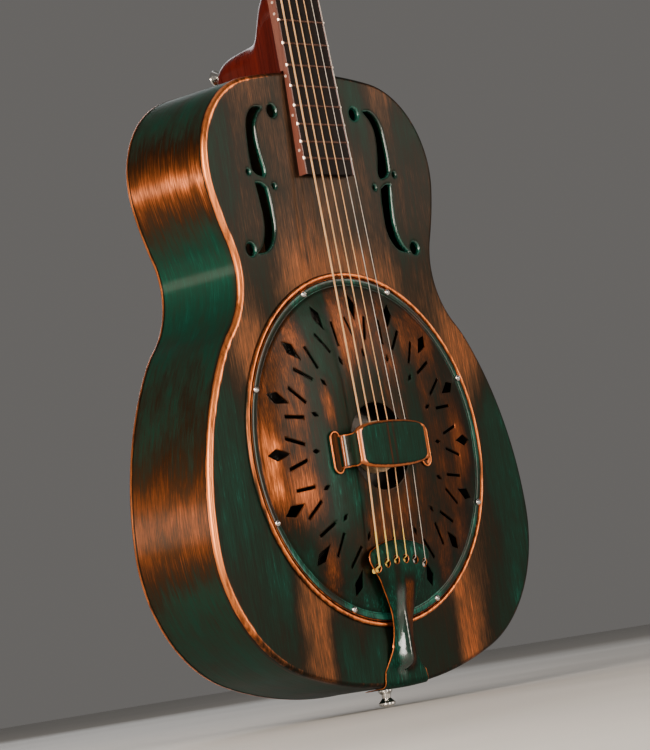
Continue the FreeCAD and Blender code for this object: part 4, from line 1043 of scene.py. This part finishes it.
def spun_aluminium():
    """The cone: rings left by the spinning tool, about its own axis. Its near-black tone is painted shade.
    """
    shader = Shader("spun_aluminium", Metallic=1.0)
    offset = shader.vector("SUBTRACT", shader.position, tuple(BRIDGE))
    length = shader.node("ShaderNodeVectorMath", operation="LENGTH")
    shader.links.new(shader.vector("MULTIPLY", offset, (1, 0, 1)), length.inputs[0])
    turn = shader.math("MULTIPLY", length.outputs["Value"], 2 * math.pi / (SPIN_PITCH * MM))
    rings = shader.math("SINE", turn)
    haze = shader.noise((60, 60, 60), shift=2.0)
    # Near-black tones for aluminium: painted shade inside the body.
    tone = shader.mix(shader.vary(haze, 0.0, 1.0), (0.040, 0.036, 0.032), (0.085, 0.078, 0.070))
    rough = shader.math("ADD", shader.vary(haze, 0.26, 0.38), shader.math("MULTIPLY", rings, 0.04))
    return shader.give(Base_Color=tone, Roughness=rough, Normal=shader.bump(rings, 0.05 * MM, 0.5))


# ---- string windings ----
STRING_RADII = {6: 0.72, 5: 0.58, 4: 0.46, 3: 0.36, 2: 0.25, 1: 0.21}
CAPSTAN_X = {6: 19.2, 5: 17.2, 4: 15.4, 3: 15.4, 2: 17.2, 1: 19.2}
POST_RADIUS, CAPSTAN_RADIUS, SPINDLE_RADIUS = 5.0, 4.0, 3.0
# x and radius of the roller's section, from its inner end out to the gear's spindle
ROLLER = (
    (4.4, POST_RADIUS - 0.4), (4.8, POST_RADIUS), (8.9, POST_RADIUS), (9.5, POST_RADIUS - 0.3),
    (9.8, CAPSTAN_RADIUS), (21.2, CAPSTAN_RADIUS), (21.5, POST_RADIUS - 0.3), (22.1, POST_RADIUS),
    (35.4, POST_RADIUS), (35.8, POST_RADIUS - 0.4), (35.81, SPINDLE_RADIUS),
)
ROLLER_SIDES = 48
WINDING_TURNS, TURN_STEPS = 3, 28


def row_faces(rows, sides):
    """Faces between closed rows of points laid end to end, and a cap at each end."""
    faces = []
    for row in range(rows - 1):
        for k in range(sides):
            a, b = row * sides + k, row * sides + (k + 1) % sides
            faces.append((a, b, b + sides, a + sides))
    last = (rows - 1) * sides
    return faces + [tuple(range(sides)), tuple(range(last, last + sides))]


def tube(points, radius, sides=8):
    """A round wire along some points, with its ends closed, as vertices and faces."""
    points = np.array(points)
    along = np.gradient(points, axis=0)
    vertices = []
    for point, t in zip(points, along / np.linalg.norm(along, axis=1)[:, None]):
        side = np.cross(t, (1.0, 0.0, 0.0))
        side /= np.linalg.norm(side)
        over = np.cross(side, t)
        for angle in np.arange(sides) * 2 * math.pi / sides:
            vertices.append(point + radius * (math.cos(angle) * side + math.sin(angle) * over))
    return vertices, row_faces(len(points), sides)


def turned(profile):
    """A section of (x, radius) points turned about the x axis, as vertices and faces."""
    turns = np.arange(ROLLER_SIDES) * 2 * math.pi / ROLLER_SIDES
    vertices = [(x, radius * math.cos(t), radius * math.sin(t)) for x, radius in profile for t in turns]
    return vertices, row_faces(len(profile), ROLLER_SIDES)


def plain_object(name, vertices, faces):
    """An object from vertices in metres in the frame."""
    mesh = bpy.data.meshes.new(name)
    mesh.from_pydata(vertices, [], faces)
    work = bmesh.new()
    work.from_mesh(mesh)
    bmesh.ops.recalc_face_normals(work, faces=work.faces)
    work.to_mesh(mesh)
    work.free()
    made = bpy.data.objects.new(name, mesh)
    bpy.context.scene.collection.objects.link(made)
    shade(made)
    return made


def string_post(label):
    """A turned roller with waisted shoulders, and the string's turns wound on it."""
    joint = next(j for j in frame["joints"] if j["name"] == f"post_turn_{label}")
    _, axis_y, axis_z = joint["pos_m"]
    side = -1 if label > 3 else 1
    low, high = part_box(f"string_post_{label}")
    reach = (high.x if side > 0 else -low.x) / MM
    radius = STRING_RADII[label]
    coil_radius = CAPSTAN_RADIUS + radius
    route = []
    for k in range(WINDING_TURNS * TURN_STEPS + 1):
        angle = 2 * math.pi * k / TURN_STEPS
        x = CAPSTAN_X[label] - 2 * radius * k / TURN_STEPS - 0.05
        route.append((x, -coil_radius * math.cos(angle), coil_radius * math.sin(angle)))
    x, y, z = route[-1]
    route.append((x - 0.8, y - 1.2, z + 1.6))
    made = []
    for name, (vertices, faces) in (("roller", turned(ROLLER + ((reach, SPINDLE_RADIUS),))),
                                    ("winding", tube(route, radius))):
        set_on = [(side * x * MM, y * MM + axis_y, z * MM + axis_z) for x, y, z in vertices]
        made.append(plain_object(f"{name}_{label}", set_on, faces))
    return made


# ---- camera, floor and light ----
CAMERA_AT = (-1837.7, -1522.7, -156.5)
AZIMUTH, ELEVATION, ROLL = math.radians(49.783), math.radians(5.376), math.radians(9.224)
LENS, SENSOR, LENS_SHIFT = 152.1, 36.0, (0.0029, -0.0136)
FAR_CLIP = 60
FLOOR_SIZE, FLOOR_GAP = 16, 0.0006
WORLD_COLOUR, WORLD_STRENGTH = (0.93, 0.89, 0.85, 1), 0.15
LIGHT_TARGET = (0, 0.02, 0.26)
# position, width, height, power in watts and colour
LIGHTS = {
    "key": ((1.45, -2.0, 0.58), 0.5, 1.3, 20, (1.0, 0.86, 0.74)),
    "sheen": ((1.95, -1.6, 0.95), 0.5, 0.6, 6, (1.0, 0.88, 0.78)),
    "front": ((-0.62, -2.37, 0.45), 0.36, 1.3, 20, (1.0, 0.92, 0.84)),
    "side": ((-1.85, 1.53, 0.47), 0.5, 0.36, 10, (1.0, 0.84, 0.66)),
    "left": ((-2.35, -0.7, 0.90), 1.3, 1.6, 82, (1.0, 0.87, 0.74)),
    "behind": ((1.4, 2.2, 1.3), 1.2, 1.2, 12, (0.95, 0.97, 1.0)),
    "above": ((0.0, 0.2, 2.6), 1.6, 1.6, 4, (1.0, 1.0, 1.0)),
}


def camera():
    """The viewpoint: low and to the bass side, rolled so that the neck leans left."""
    data = bpy.data.cameras.new("camera")
    made = bpy.data.objects.new("camera", data)
    bpy.context.scene.collection.objects.link(made)
    flat = math.cos(ELEVATION)
    view = Vector((math.sin(AZIMUTH) * flat, math.cos(AZIMUTH) * flat, math.sin(ELEVATION)))
    level = view.cross(Vector((0, 0, 1))).normalized()
    above = level.cross(view)
    right = level * math.cos(ROLL) - above * math.sin(ROLL)
    up = level * math.sin(ROLL) + above * math.cos(ROLL)
    made.matrix_world = Matrix((right, up, -view)).transposed().to_4x4()
    made.location = place(*CAMERA_AT)
    data.sensor_width, data.lens = SENSOR, LENS
    data.shift_x, data.shift_y = LENS_SHIFT
    data.clip_end = FAR_CLIP
    bpy.context.scene.camera = made


def studio():
    """A pale floor, a dim even sky and soft lights round the object."""
    bpy.ops.mesh.primitive_plane_add(size=FLOOR_SIZE, location=(0, 0, cad_low.z - FLOOR_GAP))
    floor = bpy.context.object
    floor.name = "floor"
    shader = Shader("floor")
    mottle = shader.noise((3, 3, 3), 3.0, 0.5, 1.0)
    colour = shader.mix(shader.vary(mottle, 0.0, 1.0), (0.62, 0.61, 0.59), (0.68, 0.67, 0.65))
    paint(floor, shader.give(Base_Color=colour, Roughness=shader.vary(mottle, 0.5, 0.6)))
    world = bpy.data.worlds.new("studio")
    bpy.context.scene.world = world
    world.use_nodes = True
    background = world.node_tree.nodes["Background"]
    background.inputs[0].default_value = WORLD_COLOUR
    background.inputs[1].default_value = WORLD_STRENGTH
    for name, (position, width, height, power, colour) in LIGHTS.items():
        data = bpy.data.lights.new(name, "AREA")
        data.shape, data.size, data.size_y = "RECTANGLE", width, height
        data.energy, data.color = power, colour
        made = bpy.data.objects.new(name, data)
        made.location = position
        made.rotation_euler = (Vector(LIGHT_TARGET) - Vector(position)).to_track_quat("-Z", "Y").to_euler()
        bpy.context.scene.collection.objects.link(made)


# ---- putting it together ----
body_front = patina("patina_top", BRONZE, 0.46, TOP_PLACES, UPRIGHT, (0.020, 0.050), 0.05)
body_side = patina("patina_sides", DRAWN, 0.23, SIDE_PLACES, ROUND, (0.03, 0.044), 0.11)
body_back = patina("patina_back", BRONZE, 0.38, BACK_PLACES, UPRIGHT, (0.034, 0.13), 0.10)
cover = patina("patina_cover", RUST, 0.36, COVER_PLACES, UPRIGHT, (0.011, 0.030), 0.15)
rest = patina("patina_handrest", RUST, 0.16, REST_PLACES, UPRIGHT, (0.0014, 0.01), 0.05, REST_POLISH)
tail = patina("patina_tailpiece", RUST, 0.12, TAIL_PLACES, UPRIGHT, (0.005, 0.012), 0.06, TAIL_POLISH)

PATINA_SKINS = {
    "top_plate": (top_plate_skin, "patina_body", body_front),
    "body_sides": (body_sides_skin, "patina_body", body_side),
    "back_plate": (back_plate_skin, "patina_body", body_back),
    "coverplate": (coverplate_skin, "patina_fittings", cover),
    "handrest": (handrest_skin, "patina_fittings", rest),
    "tailpiece": (tailpiece_skin, "patina_fittings", tail),
}
for node, (make, slot, material) in PATINA_SKINS.items():
    made = make()
    for piece in made if isinstance(made, tuple) else (made,):
        finish_piece(piece, node, material)

SLOW_GRAIN = (420, 420, 12)
mahogany = lacquered_wood("mahogany", (0.022, 0.0014, 0.001), (0.125, 0.008, 0.002), coat=0.10, gloss=0.14)
ebony = lacquered_wood("ebony", (0.003, 0.002, 0.002), (0.012, 0.006, 0.004), SLOW_GRAIN, 0.5, 0.0, 0.12)
edge_wood = lacquered_wood("edge_wood", (0.100, 0.024, 0.014), (0.230, 0.072, 0.045), SLOW_GRAIN, 0.3, 0.4)
maple = lacquered_wood("maple", (0.40, 0.25, 0.13), (0.62, 0.44, 0.26), (300, 30, 300), 0.35, 0.2)
spruce = lacquered_wood("spruce", (0.30, 0.19, 0.10), (0.52, 0.38, 0.22), (500, 500, 12), 0.55, 0.0)
nickel = polished("nickel", (0.78, 0.76, 0.73))
cast_metal = polished("button_metal", (0.80, 0.78, 0.74), 0.10)
gear_brass = polished("gear_brass", (0.70, 0.48, 0.20), 0.2, (0.30, 0.18, 0.08), 0.35)
rod_steel = polished("rod_steel", (0.34, 0.34, 0.35), 0.35)
bronze = wire("bronze_wound", (1.0, 0.56, 0.26), 0.4, (1.0, 0.68, 0.14))
plain = wire("plain_steel", (0.95, 0.86, 0.76), 0.2)
BONE = {"scale": (900, 900, 120), "spread": (0.35, 0.7), "rough": (0.28, 0.42), "bump": (0.02 * MM, 0.3),
        "Coat_Weight": 0.3, "Coat_Roughness": 0.15}
cream = mottled("bone", dark=(0.66, 0.56, 0.40), light=(0.80, 0.74, 0.60), **BONE)
shell = mottled("side_dot", dark=(0.66, 0.44, 0.36), light=(0.84, 0.62, 0.52), **BONE)
inside_paint = mottled("inner_steel", (700, 700, 700), (0.4, 0.7), (0.012, 0.012, 0.012),
                       (0.030, 0.030, 0.028), (0.55, 0.75), (0.05 * MM, 0.4))

FINISHES = [
    (inside_paint, ["soundwell"]), (spun_aluminium(), ["cone"]), (maple, ["biscuit", "saddle"]),
    (spruce, ["tail_block", "neck_stick"]), (rod_steel, ["truss_rod"]), (mahogany, ["neck", "headstock"]),
    (ebony, ["fretboard", "headstock_veneer", "truss_rod_cover"]), (edge_wood, ["fretboard_binding"]),
    (fret_wire(), ["frets"]), (shell, ["side_dots"]), (cream, ["nut"]),
    (nickel, ["biscuit_screw", "coverplate_screws", "end_pin", "heel_button", "strap_button_screws",
              "headstock_screws", "tuner_plate_treble", "tuner_plate_bass"]),
]
for label in range(1, 7):
    string, string_slot = (plain, "plain_string") if label < 3 else (bronze, "wound_string")
    FINISHES += [(string, [f"string_{label}"]), (nickel, [f"worm_shaft_{label}"]),
                 (cast_metal, [f"button_{label}"]), (gear_brass, [f"gear_{label}"])]
    roller, coil = string_post(label)
    finish_piece(roller, f"string_post_{label}", nickel, f"post_{label}")
    finish_piece(coil, f"string_post_{label}", string, f"post_{label}")
for material, names in FINISHES:
    for name in names:
        paint(NODES[name], material)

camera()
studio()
